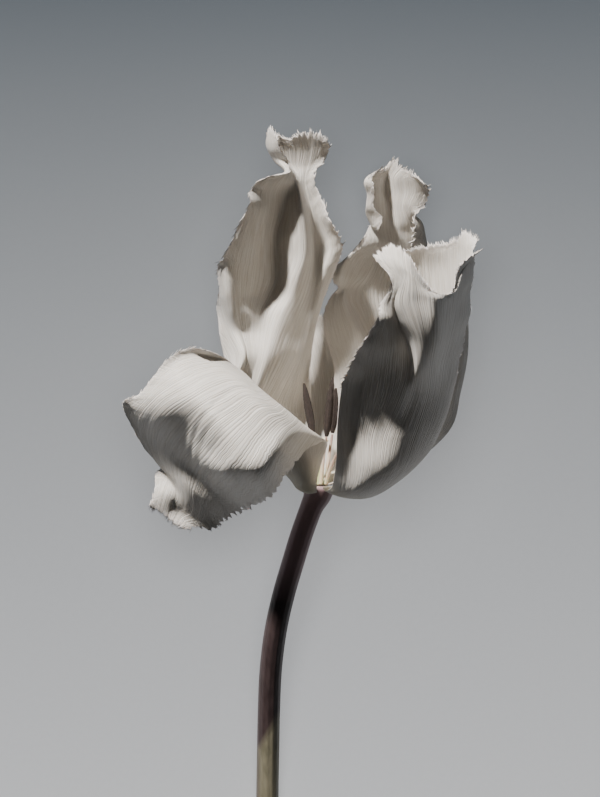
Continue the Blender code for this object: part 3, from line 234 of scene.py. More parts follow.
PETAL_BACK_RIGHT = (
    ((-0.6, 0.95, -3.3), (0.2, 0.95, -3.2), (0.8, 0.95, -3), (1.5, 0.95, -2.6), (2, 0.95, -2.1)),
    ((-0.8, 3.2, -8.3), (1.5, 3.1, -8), (3.6, 3.1, -7), (5.3, 3.1, -5.9), (6.4, 3.2, -4.4)),
    ((0.5, 6.8, -14), (3.8, 6, -15.2), (7.5, 5.8, -15.2), (11, 6, -13.5), (14, 6.8, -10.5)),
    ((2.2, 14.5, -19.5), (6.5, 13.2, -21), (11, 12.5, -21.5), (15.8, 13, -19.8), (20.5, 14.5, -16)),
    ((3.2, 22.5, -22.5), (8, 21.2, -24.5), (13, 20.5, -25), (18.8, 21, -24), (25, 22.5, -20.5)),
    ((3.6, 29.5, -23.5), (8.2, 28.2, -25.2), (13.5, 27.2, -26.8), (21, 27.5, -26.8), (29.5, 29.5, -22.5)),
    ((2, 36, -23), (4.5, 35.4, -23.4), (7, 35, -24.2), (9.6, 34.8, -25.2), (13.5, 34.5, -26.8),
     (17.5, 34.8, -28), (22, 35.4, -28.6), (27, 36.5, -27), (31.5, 38, -24)),
    ((0.9, 40.5, -22), (3.4, 40.2, -22.2), (6, 40, -22.8), (8.8, 39.8, -23.4), (10.8, 39.8, -26),
     (15, 39.8, -27.4), (21, 40.2, -28.6), (27, 41.2, -27.2), (32, 42.6, -24.5)),
    ((1.1, 44.6, -21.4), (3, 44.2, -21.4), (5, 44, -21.8), (7, 43.8, -22.4), (8.8, 43.8, -25.2),
     (14, 44, -26.6), (21, 44.4, -28), (27, 45.4, -27), (32, 46.6, -24.5)),
    ((2.8, 48.2, -21), (3.8, 48, -21), (4.8, 47.8, -21.2), (5.8, 47.6, -21.6), (7.2, 47.6, -24),
     (13, 47.8, -25.8), (20, 48.2, -27.2), (26.5, 49.2, -26.6), (31.8, 50.4, -24.2)),
    ((4.4, 50.2, -20.4), (5, 50.2, -21), (5.6, 50.2, -21.8), (6.2, 50.2, -22.6), (7.6, 50.3, -23.6),
     (13, 50.4, -25), (20, 50.8, -26.2), (26, 51.6, -26), (31.6, 52.6, -24)),
    ((3.4, 52.8, -20.5), (4.6, 52.8, -18.8), (6, 52.8, -20), (7.6, 52.8, -21.4), (9.8, 52.8, -22.6),
     (14, 53, -24), (20, 53.4, -25), (26, 54.2, -25), (31.4, 55.2, -23.5)),
    ((4.2, 56.2, -20), (5.6, 56, -18.2), (7.2, 55.8, -19.4), (9, 55.6, -20.8), (11.5, 55.6, -22),
     (15, 55.8, -23), (20, 56.2, -23.6), (25.5, 56.8, -23.6), (30.6, 57.6, -22.6)),
    ((6.6, 58.4, -19.6), (7.8, 58.6, -18), (9.2, 58.4, -18.8), (10.8, 58.2, -19.8), (12.8, 58, -20.8),
     (15.6, 58, -21.6), (20, 58.2, -21.8), (26, 58.8, -20.8), (27.5, 59.2, -18)),
    ((8.8, 60.2, -17.6), (10.2, 60.2, -17.2), (12, 60.1, -17.8), (14.4, 60, -18.8), (16.4, 59.8, -19.4),
     (18.8, 59.8, -20), (21.4, 60.2, -19.8), (26.9, 61, -18.6), (22.4, 60.6, -14.6)),
    ((11, 63.4, -16.4), (12.2, 62.9, -16.6), (13.6, 62.6, -16.8), (15, 62.5, -17), (16.4, 62.4, -17.8),
     (18.8, 62.4, -18.8), (21.2, 62.6, -18.2), (26.3, 63.2, -16.8), (22.2, 62.8, -13.6)),
    ((12.6, 66, -17.2), (12.9, 65.6, -17), (13.2, 65, -16.6), (14, 64.6, -16.6), (15.8, 64.4, -17.4),
     (18.5, 64.2, -18.2), (21.2, 64.4, -17.2), (25.9, 65, -15.4), (22.7, 64.6, -12.9)),
    ((15, 64.8, -13.2), (14, 65.5, -13.8), (12.9, 66.2, -15), (13.7, 66.2, -16.4), (15.6, 66.2, -17),
     (18.2, 66, -17.6), (21, 66.2, -15.8), (25.4, 66.8, -14), (23.3, 66, -12.2)),
    ((16.2, 67.6, -11.2), (14.2, 68.2, -11.8), (11.8, 68.8, -13.2), (13.2, 68.6, -15.4),
     (15.4, 68.4, -16.6), (17.8, 68.2, -17.4), (20.6, 68.4, -14.8), (23.6, 68.9, -12.6),
     (24.7, 68.6, -11.8)),
    ((13.4, 70, -10), (12.6, 70.2, -10.6), (11.7, 70.4, -11.6), (12.8, 70.6, -13.6), (15.2, 70.8, -15.6),
     (17.6, 71, -17), (20.2, 71, -14), (23.2, 71.2, -11.4), (26.4, 70.2, -11.5)),
    ((13.4, 73.2, -9), (12.8, 73.4, -9.6), (12, 73.6, -10.6), (13.2, 73.8, -13), (15, 74, -15),
     (17, 74, -16.8), (20.4, 74.2, -12.6), (24.2, 74.2, -9.2), (27.6, 73.4, -9.5)),
    ((14, 75.6, -8), (12.8, 76.2, -8.2), (11.4, 77, -8.8), (13, 77.2, -11.4), (15, 77.4, -13.8),
     (17, 77.6, -15.6), (19.8, 77.6, -11), (23.6, 77.2, -7.6), (26.8, 75.8, -8)),
    ((12, 77.8, -8), (13.2, 78.4, -8.6), (14.2, 79.4, -9.8), (15.4, 80.2, -11.4), (16.6, 80, -13.6),
     (17.2, 81.4, -13.8), (18.8, 82.8, -10.6), (20.6, 80.8, -8.6), (22.4, 79.4, -7.4), (24.4, 78, -6.8),
     (26.2, 76.8, -7.2)),
)

PETAL_RIGHT = (
    ((2.7, 0.95, -0.7), (2.8, 0.95, -0.2), (2.8, 0.95, 0.4), (2.7, 0.95, 0.8), (2.6, 0.95, 1.3),
     (2.3, 0.95, 1.7), (2, 0.95, 2.1)),
    ((7.5, 3, -3), (8.1, 2.8, -1.2), (8.4, 2.7, 0.8), (8, 2.6, 3), (7, 2.6, 5)),
    ((11.5, 4.5, -5.5), (14.2, 3.8, -5), (16.5, 3.5, -2.5), (17, 3.5, 1), (15.2, 3.8, 4.5)),
    ((14.5, 7.2, -7), (18.5, 6.8, -8.2), (22, 6.8, -7.2), (24.5, 7.4, -4), (25.3, 8.2, -0.6),
     (23.4, 8.4, 2.6), (20.8, 8.2, 5)),
    ((17, 14.5, -11), (22, 14, -13), (27, 14.2, -12), (30.5, 15.2, -8), (33, 15.8, -2.5), (31.2, 16, 0.6),
     (28, 15.5, 4)),
    ((18, 22.2, -14), (23, 22, -15.5), (28.2, 22.2, -14), (32.5, 23, -9.5), (34.9, 23.8, -3.5),
     (34, 23.8, 0.5), (30.8, 23.2, 4)),
    ((18.5, 30.8, -15), (23.8, 30.5, -16), (29.5, 31, -14), (34, 31.8, -9), (36.6, 32.5, -3.5),
     (35.8, 32.5, 0.5), (33.2, 32, 3.5)),
    ((19, 39.5, -14), (24.2, 39.2, -15), (30, 39.8, -13), (34.2, 40.5, -8.5), (36.8, 41.2, -3.5),
     (36.2, 41.5, 0), (34.2, 41.2, 3)),
    ((19.8, 49, -12.5), (24.8, 48.8, -13), (29.8, 49.2, -11), (33.5, 50, -7), (35.5, 50.8, -3),
     (35.8, 51, 0), (35, 50.8, 2.5)),
    ((20.5, 55, -10.5), (25, 55, -11), (29.5, 55.5, -9.5), (33.2, 56.2, -6), (35.8, 57, -3),
     (37, 57.2, -0.5), (37.2, 57, 1.5)),
    ((21, 59.2, -7), (24, 60, -7.5), (27.2, 60.8, -7), (30.2, 61, -5.8), (33.2, 61.8, -3.6),
     (35.2, 63, -2.8), (36, 64.2, -2.5), (38, 63.2, -1.5), (39.8, 61.8, -0.2)),
)

PETAL_FRONT_RIGHT = (
    ((0.7, 0.3, 4.4), (1.5, 0.3, 4), (2.2, 0.3, 3.6), (2.8, 0.3, 3), (3.4, 0.3, 2.3), (3.7, 0.3, 1.5),
     (3.9, 0.3, 0.8)),
    ((1.2, -0.6, 6.8), (2.4, -1.1, 6.6), (3.8, -1.5, 6), (5, -1.6, 5), (5.9, -1.5, 3.6), (6.5, -1.2, 2),
     (6.8, -0.8, 0.2)),
    ((2.8, 0.2, 10), (4.2, -0.8, 10.4), (6.2, -1.8, 10.5), (8.5, -2.4, 9), (10.5, -2.4, 6), (11.8, -2, 3),
     (12.2, -1, 0)),
    ((3.5, 3, 15), (6.2, 1.2, 15.2), (9.8, 0, 16.5), (13.2, -0.5, 15), (16.5, 0, 11), (19, 1.5, 6.5),
     (20.6, 3, 2.2)),
    ((4, 8.2, 20.5), (7.5, 6.2, 19), (12.2, 5, 21), (17.2, 4.8, 20.5), (21.8, 5.8, 16.5), (25, 7.2, 10.5),
     (27.1, 9, 3.8)),
    ((4.2, 15.8, 25.5), (8.2, 14, 22.5), (13.5, 12.8, 23), (19.2, 12.5, 23.4), (24.5, 13.2, 19.6),
     (28.8, 14.5, 13), (31, 16.8, 5.4)),
    ((5.6, 26.5, 31.5), (9, 25.5, 29), (13, 24.8, 29.4), (17, 24.3, 29), (20.5, 24, 28.2), (23.3, 24, 26),
     (25.6, 24, 24), (28, 24.2, 20.5), (30.4, 24.6, 16), (32.4, 25.2, 11), (33.6, 26, 5.5)),
    ((8.5, 33, 37), (11.5, 32, 35), (15, 31.2, 33.4), (18.6, 30.6, 32.2), (22.4, 30.4, 31),
     (24.2, 30.6, 35.4), (26, 31, 35.4), (28.2, 31.4, 31.5), (30.8, 31.8, 22), (33.2, 32.4, 14),
     (35.2, 33.5, 6.5)),
    ((11.2, 37.5, 40.5), (13.6, 37, 39.4), (16.4, 36.6, 38), (19.2, 36.4, 36.6), (21.6, 36.4, 35),
     (23.4, 36.8, 39.6), (26.2, 37.2, 40), (29, 37.4, 37.8), (31.8, 37.8, 27), (34.4, 38.6, 17),
     (36.6, 40, 7.2)),
    ((14.1, 42.5, 43), (15.6, 42.2, 42.4), (17.2, 42, 41.4), (18.2, 42, 40.4), (19.2, 42, 39.4),
     (20.8, 42.3, 42.6), (25.2, 42.6, 42.8), (28.8, 42.6, 41.4), (32.2, 43, 30), (35.2, 44, 18.5),
     (37.5, 45.5, 7.8)),
    ((14.8, 46, 42.4), (15.8, 45.8, 42.6), (17, 45.7, 42.4), (17.8, 45.8, 42.4), (18.3, 46, 42.4),
     (19.6, 46.3, 44.2), (24.2, 46.4, 44), (28.4, 46, 42.4), (32.4, 46.6, 31.5), (35.6, 48.5, 19),
     (37.9, 50.5, 8.3)),
    ((17, 49.2, 44.4), (17.6, 49.4, 44.5), (18.2, 49.6, 44.6), (18.8, 49.8, 44.8), (19.4, 50, 45),
     (20.4, 50.2, 45.2), (23.8, 49.2, 44.9), (28, 47.4, 42.6), (32.2, 48, 32.5), (35.8, 51.5, 19.5),
     (38.1, 54.5, 8.8)),
    ((17.2, 51.8, 45), (17.8, 52, 45), (18.4, 52.2, 45.1), (19.1, 52.4, 45.2), (19.9, 52.6, 45.3),
     (21, 52.5, 45.4), (23.2, 51.4, 45.2), (27, 48.4, 42.4), (32.8, 48.6, 32), (35.8, 54.5, 20),
     (38.6, 57, 9.3)),
    ((14.8, 55.2, 44), (15.4, 55.4, 44.2), (16.2, 55.6, 44.4), (17, 55.8, 44.6), (18, 56, 44.8),
     (19, 55.8, 45.2), (20.4, 55.2, 45.4), (22.4, 53.4, 45.2), (25, 50, 43.8), (28.6, 47.2, 40),
     (32.6, 47.8, 32.4), (34.6, 53.6, 23.5), (39.4, 59.2, 9.9)),
    ((12.8, 57, 42), (13.4, 58, 41.8), (14.4, 59, 41.8), (15.6, 59.8, 42), (17, 60.5, 42.2),
     (18.4, 60.4, 42.6), (20, 59.6, 43.2), (22.2, 57, 44.2), (25.4, 51.4, 43.4), (28.8, 48.2, 39.8),
     (32.6, 49, 32.2), (34.4, 55.5, 23.5), (41, 60.4, 10.5)),
)

# Each stamen: the foot of its filament, the top of its filament and the tip of its anther
STAMENS = (
    ((-2.2, 0.9, -1.3), (-1.7, 13, -3), (-4, 26.2, -5.5)),
    ((0.2, 0.9, 2.1), (1.6, 12.6, 2), (2.9, 25.4, 3.4)),
    ((0.2, 0.9, -2.1), (1.9, 14.8, -4.6), (3.2, 27.6, -7)),
    ((1.6, 0.9, -0.4), (3.1, 13.4, -1.8), (4, 25, -1.6)),
    ((-2.2, 0.9, 1.3), (-5.2, 10, 4.6), (-9.6, 19.6, 7.2)),
    ((1.4, 0.9, 1.4), (5.4, 10.6, 6.6), (8.4, 20.4, 10.6)),
)

PISTIL_LINE = ((-0.5, 0.85, 0), (-0.5, 4, 0), (-0.5, 9, 0.1), (-0.6, 12.6, 0.1))

# Where the bloom's base stands in the frame, read from the cut end of the stem's solid
STEM_SIDES = 14
STEM_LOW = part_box("stem")[0] / MM
OFFSET = np.array([
    STEM_LOW.x + STEM_DIAMETER / 2 * math.cos(math.pi / STEM_SIDES) - STEM_LINE[-1][0],
    STEM_LOW.y - STEM_LINE[-1][1],
    BASE_HEIGHT,
])

# What the lights and the camera point at
TARGET = np.array([OFFSET[0] + VIEW_MIDDLE[0], OFFSET[1] + VIEW_MIDDLE[1], BASE_HEIGHT]) * MM

# The petals' fine detail: lengths in millimetres, and shares from 0 to 1
PETAL_COLUMNS = 150
PETAL_ROWS = 180
THICK_MIDDLE = 0.55
THICK_EDGE = 0.22
THIN_REACH = 3.0
REST_HEIGHT = 0.35
TOOTH_LENGTH = 1.5
TOOTH_SIZES = (0.3, 1.0)
TOOTH_POWER = 1.3
TOOTH_FIRST = 0.2
TOOTH_ROWS = 12
TOOTH_LEAN = 0.9
TOOTH_STRAY = 0.25
NOTCH_DEPTH = 1.3
NOTCH_WIDTH = (1.0, 2.3)
NOTCH_MIDDLE = (0.3, 0.7)
NOTCH_CUT = (0.4, 1.0)
NOTCH_TONGUE = (0.0, 0.2)
NOTCH_MOST = 0.14
NOTCH_FADE = 6
NOTCH_GROWTH = 0.12
FLUTE_HEIGHT = 0.22
FLUTES_PER_MM = 0.7
FLUTE_REACH = 3.0
FLUTE_GROWTH = 0.1
VEIN_RELIEF = 0.03
FINE_VEINS = 50
BROAD_RELIEF = 0.02
BROAD_VEINS = 22
EDGE_FADE = 0.8
BASE_FADE = 0.05
CREASE_START = 0.35
CREASE_GROWTH = 0.05
CREASE_STEPS = 60
TIP_EDGE = -0.5
SEED = 7

# The stem's skin: a pale part, painted as lit, starts at a slanting line, the painted edge of the bloom's
# shadow, and spares a painted shaded strip on the left; its upper part, in the bloom's shadow, is a purple
# painted lighter
STEM_INSET = 0.05
STEM_RIBS = ((0.03, 13, 0.0), (0.02, 29, 1.0))
LIT_PAINT_FROM = (-10.0, -54.5)
LIT_PAINT_TOWARDS = (0.87, -0.49)
LIT_PAINT_SOFTNESS = 1.8
LIT_PAINT_LEFT = -16.4
SHADOW_LIFT_FROM = -29.0
SHADOW_LIFT_LENGTH = 10.0

# The stamens' and the pistil's fine detail
BOW = (0.12, 0.0, 0.12)
FILAMENT_PROFILE = (1.0, 1.0, 0.9, 0.8, 0.55)
ANTHER_PROFILE = (0.45, 0.85, 1.0, 1.0, 0.96, 0.85, 0.62, 0.25)
ANTHER_INSET = 0.96
ANTHER_GROOVE = 0.16
ANTHER_GRAIN = 0.035
PISTIL_KNOTS = (0.0, 0.15, 0.35, 0.6, 0.78, 0.86, 0.93, 1.0)
PISTIL_PROFILE = (0.9, 1.0, 1.02, 0.95, 0.8, 0.95, 1.35, 0.9)
STIGMA_LOBES = 0.32
OVARY_FURROWS = 0.06

# Ribs, then the height of the waves along the edges, how many there are and where they start,
# then the share of the length whose edges are smooth, how deep the notches are on the left edge,
# the right edge and the tip, against NOTCH_DEPTH, whether the petal touches the surface,
# and whether its first face (1) or its second face (-1) is towards the camera
PETALS = {
    "petal_front_left": (PETAL_FRONT_LEFT, (0.25, 9, 0.45), 0.42, (0.9, 2.0, 0.4), False, -1),
    "petal_left": (PETAL_LEFT, (0.7, 8, 0.45), 0.5, (1.3, 1.1, 1.3), False, 1),
    "petal_back_left": (PETAL_BACK_LEFT, (0.9, 6, 0.5), 0.5, (0.8, 0.8, 1.0), True, 1),
    "petal_back_right": (PETAL_BACK_RIGHT, (0.8, 8, 0.45), 0.5, (1.3, 1.0, 1.4), True, 1),
    "petal_right": (PETAL_RIGHT, (0.7, 7, 0.5), 0.6, (0.8, 0.8, 1.0), False, 1),
    "petal_front_right": (PETAL_FRONT_RIGHT, (0.4, 9, 0.5), 0.5, (1.3, 1.0, 1.1), False, 1),
}

# Ridges (height above 0) and grooves (below 0) as seen from above: height, half width, points
CREASES = {
    "petal_front_left": (
        (0.14, 0.32, ((-16, 26), (-23, 25), (-27.5, 21.5), (-30.5, 17.5), (-32.2, 13), (-33, 8),
                      (-33.3, 3))),
        (-0.16, 0.30, ((-16, 25), (-22, 24), (-26.6, 20.5), (-29.6, 16.5), (-31.3, 12), (-32.2, 7),
                       (-32.5, 2))),
        (0.12, 0.28, ((-15.5, 24), (-21.5, 22.8), (-25.8, 19.4), (-28.7, 15.4), (-30.4, 11), (-31.3, 6))),
        (-0.14, 0.28, ((-15, 23), (-20.8, 21.6), (-24.9, 18.2), (-27.8, 14.2), (-29.4, 9.8), (-30.3, 5))),
        (0.10, 0.28, ((-14.5, 21.8), (-20, 20.2), (-24, 16.8), (-26.8, 12.9), (-28.3, 8.4), (-29.2, 3.5))),
        (-0.10, 0.28, ((-14, 20.4), (-19, 18.8), (-22.8, 15.6), (-25.5, 11.8), (-27, 7.4), (-27.9, 2.5))),
    ),
}


def smooth(points, knots, at):
    """A smooth curve through points[i] at knots[i], read at each value of at."""
    points = np.asarray(points, float)
    knots = np.asarray(knots, float)
    span = np.diff(knots).reshape(-1, *[1] * (points.ndim - 1))
    slope = np.diff(points, axis=0) / span
    inner = (slope[:-1] * span[1:] + slope[1:] * span[:-1]) / (span[1:] + span[:-1])
    tangent = np.concatenate([slope[:1], inner, slope[-1:]])
    low = np.clip(np.searchsorted(knots, at, side="right") - 1, 0, len(knots) - 2)
    t = ((at - knots[low]) / (knots[low + 1] - knots[low])).reshape(-1, *[1] * (points.ndim - 1))
    start = points[low] * (1 + 2 * t) * (1 - t) ** 2 + points[low + 1] * t * t * (3 - 2 * t)
    return start + span[low] * (tangent[low] * t * (1 - t) ** 2 + tangent[low + 1] * t * t * (t - 1))


def gaps(points, axis=0):
    """How far each point of a line, or of the lines of a grid, lies from the one before it."""
    return np.linalg.norm(np.diff(points, axis=axis), axis=-1)


def walked(points, axis=0):
    """How far each point of a line, or of the lines of a grid, lies along it from its first point."""
    steps = np.cumsum(gaps(points, axis), axis=axis)
    return np.concatenate([np.zeros_like(np.take(steps, [0], axis=axis)), steps], axis=axis)


def spread(points):
    """A knot for each point or rib, from 0 to 1, spaced by how far apart they lie."""
    gap = gaps(np.asarray(points, float))
    if gap.ndim > 1:
        gap = gap.mean(axis=1)
    return np.concatenate([[0.0], np.cumsum(gap)]) / gap.sum()


def petal_grid(ribs, columns, rows):
    """The middle surface of a petal, as an array of rows by columns of points."""
    across = np.linspace(0, 1, columns + 1)
    lines = np.array([smooth(rib, np.linspace(0, 1, len(rib)), across) for rib in ribs])
    return smooth(lines, spread(lines), np.linspace(0, 1, rows + 1))


def grid_normals(grid):
    along = np.gradient(grid, axis=0)
    across = np.gradient(grid, axis=1)
    normal = np.cross(across, along)
    return normal / np.linalg.norm(normal, axis=2, keepdims=True)


def ruffled(grid, height, waves, start):
    """The grid with its two edges waved up and down, more and more from the height start on."""
    rows, columns = grid.shape[:2]
    v = np.linspace(0, 1, rows)[:, None]
    u = np.linspace(-1, 1, columns)[None, :]
    grow = np.clip((v - start) / (1 - start), 0, 1) ** 0.5
    side = np.where(u < 0, 0.0, 1.9)
    lift = height * grow * np.abs(u) ** 4 * np.sin(2 * math.pi * waves * v + side)
    return grid + grid_normals(grid) * lift[:, :, None]


class Wander:
    """A smooth random line: its value at x, between about -1 and 1, with one bend in each unit of x."""

    def __init__(self, seed):
        self.value = np.random.default_rng(seed).uniform(-1, 1, 4096)

    def __call__(self, x):
        count = len(self.value)
        x = x + count / 2
        low = np.floor(x).astype(int)
        t = x - low
        t = t * t * (3 - 2 * t)
        return self.value[low % count] * (1 - t) + self.value[(low + 1) % count] * t


def stable_seed(name):
    return sum((number + 1) * ord(letter) for number, letter in enumerate(name)) * 31 + SEED


def notches(edge, depth, draw):
    """How deep a row of uneven notches cuts in at each point of an edge."""
    along = walked(edge)
    ends = [0.0]
    while ends[-1] < along[-1]:
        ends.append(ends[-1] + draw.uniform(*NOTCH_WIDTH))
    at, cut = [], []
    for low, high in zip(ends, ends[1:]):
        at += [low, low + (high - low) * draw.uniform(*NOTCH_MIDDLE)]
        cut += [depth * draw.uniform(*NOTCH_CUT), depth * draw.uniform(*NOTCH_TONGUE)]
    return np.interp(along, at, cut)


def resampled(line, knots, at):
    """The points of a line that has its own points at knots, read at each value of at."""
    return np.stack([np.interp(at, knots, line[:, axis]) for axis in range(3)], axis=1)


def trimmed(grid, smooth_share, fringe, draw):
    """The grid with notches cut into its side edges past smooth_share of its length, and into its tip."""
    v = np.linspace(0, 1, grid.shape[0])
    u = np.linspace(0, 1, grid.shape[1])
    grow = np.clip((v - smooth_share) / NOTCH_GROWTH, 0, 1)
    width = gaps(grid, 1).sum(axis=1)
    left, right = (
        np.minimum(notches(edge, NOTCH_DEPTH * share, draw) * grow / width, NOTCH_MOST)
        for edge, share in ((grid[:, 0], fringe[0]), (grid[:, -1], fringe[1]))
    )
    grid = np.stack([
        resampled(line, u, u + low * (1 - u) ** NOTCH_FADE - high * u ** NOTCH_FADE)
        for line, low, high in zip(grid, left, right)
    ])
    tip = notches(grid[-1], NOTCH_DEPTH * fringe[2], draw) / gaps(grid).sum(axis=0)
    return np.stack([
        resampled(line, v, v - high * v ** NOTCH_FADE) for line, high in zip(grid.swapaxes(0, 1), tip)
    ], axis=1)


def vein_place(rows, columns):
    """Which vein a point lies on: veins fan out from the base and end at the edges."""
    u = np.linspace(-0.5, 0.5, columns)[None, :]
    v = np.linspace(0, 1, rows)[:, None]
    return u / (0.38 + 0.87 * v ** 0.9)


def edge_distance(grid):
    """The distance from each point to the nearest side edge or to the tip, in millimetres."""
    from_left = walked(grid, 1)
    from_base = walked(grid)
    from_right = from_left[:, -1:] - from_left
    from_tip = from_base[-1:] - from_base
    return np.minimum(np.minimum(from_left, from_right), from_tip)


def crease_lift(grid, creases):
    """How far the ridges and grooves lift each point, from CREASE_START of the length on."""
    lift = np.zeros(grid.shape[:2])
    flat = grid[:, :, :2].reshape(-1, 2)
    for height, width, points in creases:
        line = smooth(points, spread(points), np.linspace(0, 1, CREASE_STEPS))
        gap = np.full(len(flat), 1e9)
        ends = np.ones(len(flat))
        for step, point in enumerate(line):
            near = np.hypot(flat[:, 0] - point[0], flat[:, 1] - point[1])
            closer = near < gap
            gap = np.where(closer, near, gap)
            inward = min(max(step / (CREASE_STEPS - 1), 0.02), 0.98)
            ends = np.where(closer, math.sin(math.pi * inward) ** 0.4, ends)
        lift += (height * ends * np.exp(-((gap / width) ** 2))).reshape(lift.shape)
    v = np.linspace(0, 1, grid.shape[0])
    return lift * np.clip((v - CREASE_START) / CREASE_GROWTH, 0, 1)[:, None]


def fine_surface(name, ribs, ruffle, smooth_share, fringe, rests, facing, draw):
    """The petal's middle surface, its thickness, and the values that its material reads at each point:
    its vein, its distance from the edge and how far along the middle of the petal it lies."""
    grid = ruffled(petal_grid(ribs, PETAL_COLUMNS, PETAL_ROWS), *ruffle)
    grid = trimmed(grid, smooth_share, fringe, draw)
    rows, columns = grid.shape[:2]
    vein = vein_place(rows, columns)
    edge = edge_distance(grid)
    v = np.linspace(0, 1, rows)[:, None]
    travelled = walked(grid[:, columns // 2])[:, None]
    # Veins stray sideways and swell, and an added number reads another stretch of the same line
    fine, broad, small, swell = (Wander(stable_seed(name) + number) for number in range(4))
    lift = VEIN_RELIEF * fine(vein * FINE_VEINS + 0.3 * small(v * 9)) * (0.6 + 0.4 * small(vein * 9 + 40))
    lift = lift + BROAD_RELIEF * broad(vein * BROAD_VEINS + 0.5 * swell(v * 5)) * (0.35 + 0.65 * v)
    flutes = np.exp(-edge / FLUTE_REACH) * np.clip((v - smooth_share) / FLUTE_GROWTH, 0, 1)
    lift = lift + FLUTE_HEIGHT * flutes * small(vein * 5 + (travelled + 0.6 * edge) * FLUTES_PER_MM + 7)
    lift = lift * np.clip(edge / EDGE_FADE, 0.25, 1) * np.clip(v / BASE_FADE, 0, 1) * facing
    lift = lift + facing * crease_lift(grid, CREASES.get(name, ()))
    grid = grid + grid_normals(grid) * lift[:, :, None]
    if rests:
        grid[:, :, 2] = np.maximum(grid[:, :, 2], REST_HEIGHT - BASE_HEIGHT)
    thickness = THICK_EDGE + (THICK_MIDDLE - THICK_EDGE) * (1 - np.exp(-edge / THIN_REACH))
    values = {"vein": vein, "edge": edge, "travelled": np.repeat(travelled, columns, axis=1)}
    return grid, thickness, values


def petal_mesh(name, ribs, ruffle, smooth_share, *others):
    """A closed sheet with a fringe of teeth, the values that its material reads, and its flat map."""
    draw = random.Random(f"{SEED} {name} fine")
    grid, thickness, values = fine_surface(name, ribs, ruffle, smooth_share, *others, draw)
    rows, columns = grid.shape[0] - 1, grid.shape[1] - 1
    points = grid.reshape(-1, 3)
    normals = grid_normals(grid).reshape(-1, 3)
    half = thickness.reshape(-1, 1) / 2
    along, across = np.meshgrid(np.linspace(0, 1, rows + 1), np.linspace(0, 1, columns + 1), indexing="ij")

    def index(row, column):
        return row * (columns + 1) + column

    first = round(rows * smooth_share)
    rim = [index(0, column) for column in range(columns)]
    tips, roots, teeth = [], [], []

    def toothed(a, b, inside, size):
        """Goes along the edge from a to b, over a tooth that points away from the point inside."""
        rim.append(a)
        if size == 0:
            return
        middle = (points[a] + points[b]) / 2
        away = middle - points[inside]
        away = away / np.linalg.norm(away)
        lean = (points[b] - points[a]) * draw.uniform(-TOOTH_LEAN, TOOTH_LEAN)
        stray = normals[a] * draw.uniform(-TOOTH_STRAY, TOOTH_STRAY)
        length = TOOTH_LENGTH * size * draw.uniform(*TOOTH_SIZES) ** TOOTH_POWER
        tip = len(points) + len(tips)
        tips.append(middle + (away + stray) * length + lean)
        roots.append((a, b))
        teeth.append([a, tip, b])
        rim.append(tip)

    def grown(row):
        """The size of a side edge's tooth, from TOOTH_FIRST up to 1 over the first rows that have any."""
        return min(1.0, (row - first) / TOOTH_ROWS + TOOTH_FIRST)

    for row in range(rows):
        size = grown(row) if row >= first else 0
        toothed(index(row, columns), index(row + 1, columns), index(row, columns - 1), size)
    for column in range(columns, 0, -1):
        toothed(index(rows, column), index(rows, column - 1), index(rows - 1, column), 1.0)
    for row in range(rows, 0, -1):
        size = grown(row) if row > first else 0
        toothed(index(row, 0), index(row - 1, 0), index(row, 1), size)

    base, other = np.array(roots).T
    points = np.concatenate([points, np.array(tips)])
    normals = np.concatenate([normals, (normals[base] + normals[other]) / 2])
    normals = normals / np.linalg.norm(normals, axis=1, keepdims=True)
    half = np.concatenate([half, half[base] * 0.5])

    count = len(points)
    vertices = np.concatenate([points + normals * half, points - normals * half])
    row, column = np.meshgrid(np.arange(rows), np.arange(columns), indexing="ij")
    a = index(row, column).ravel()
    faces = np.stack([a, a + 1, a + columns + 2, a + columns + 1], axis=1).tolist() + teeth
    faces += [[c + count for c in reversed(face)] for face in faces]
    faces += [[b, a, a + count, b + count] for a, b in zip(rim, rim[1:] + rim[:1])]

    values["along"] = along
    values = {key: np.concatenate([value.ravel(), value.ravel()[base]]) for key, value in values.items()}
    values["edge"][count - len(tips):] = TIP_EDGE
    across = np.concatenate([across.ravel(), across.ravel()[base]])
    flat = np.stack([across, values["along"]], axis=1) * [0.48, 0.98]
    flat = np.concatenate([flat + [0.01, 0.01], flat + [0.51, 0.01]])
    return vertices, faces, {key: np.tile(value, 2) for key, value in values.items()}, flat


def placed(name, data):
    """A new object in the scene."""
    thing = bpy.data.objects.new(name, data)
    bpy.context.scene.collection.objects.link(thing)
    return thing


def make(node, vertices, faces, surface, values, flat=None):
    """The fine piece for a node, from points in millimetres about the bloom's base, with the values
    that its material reads and its flat map."""
    mesh = bpy.data.meshes.new(f"{node}_fine")
    mesh.from_pydata(((vertices + OFFSET) * MM).tolist(), [], outward(vertices, faces))
    for key, value in values.items():
        layer = mesh.attributes.new(key, "FLOAT", "POINT")
        layer.data.foreach_set("value", np.asarray(value, np.float32))
    if flat is not None:
        layer = mesh.uv_layers.new(name="OFBake")
        corners = np.empty(len(mesh.loops), np.int32)
        mesh.loops.foreach_get("vertex_index", corners)
        layer.data.foreach_set("uv", flat[corners].astype(np.float32).ravel())
    mesh.shade_smooth()
    mesh.materials.append(surface)
    piece = placed(f"{node}_fine", mesh)
    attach(piece, "root")
    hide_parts(node)
    return piece


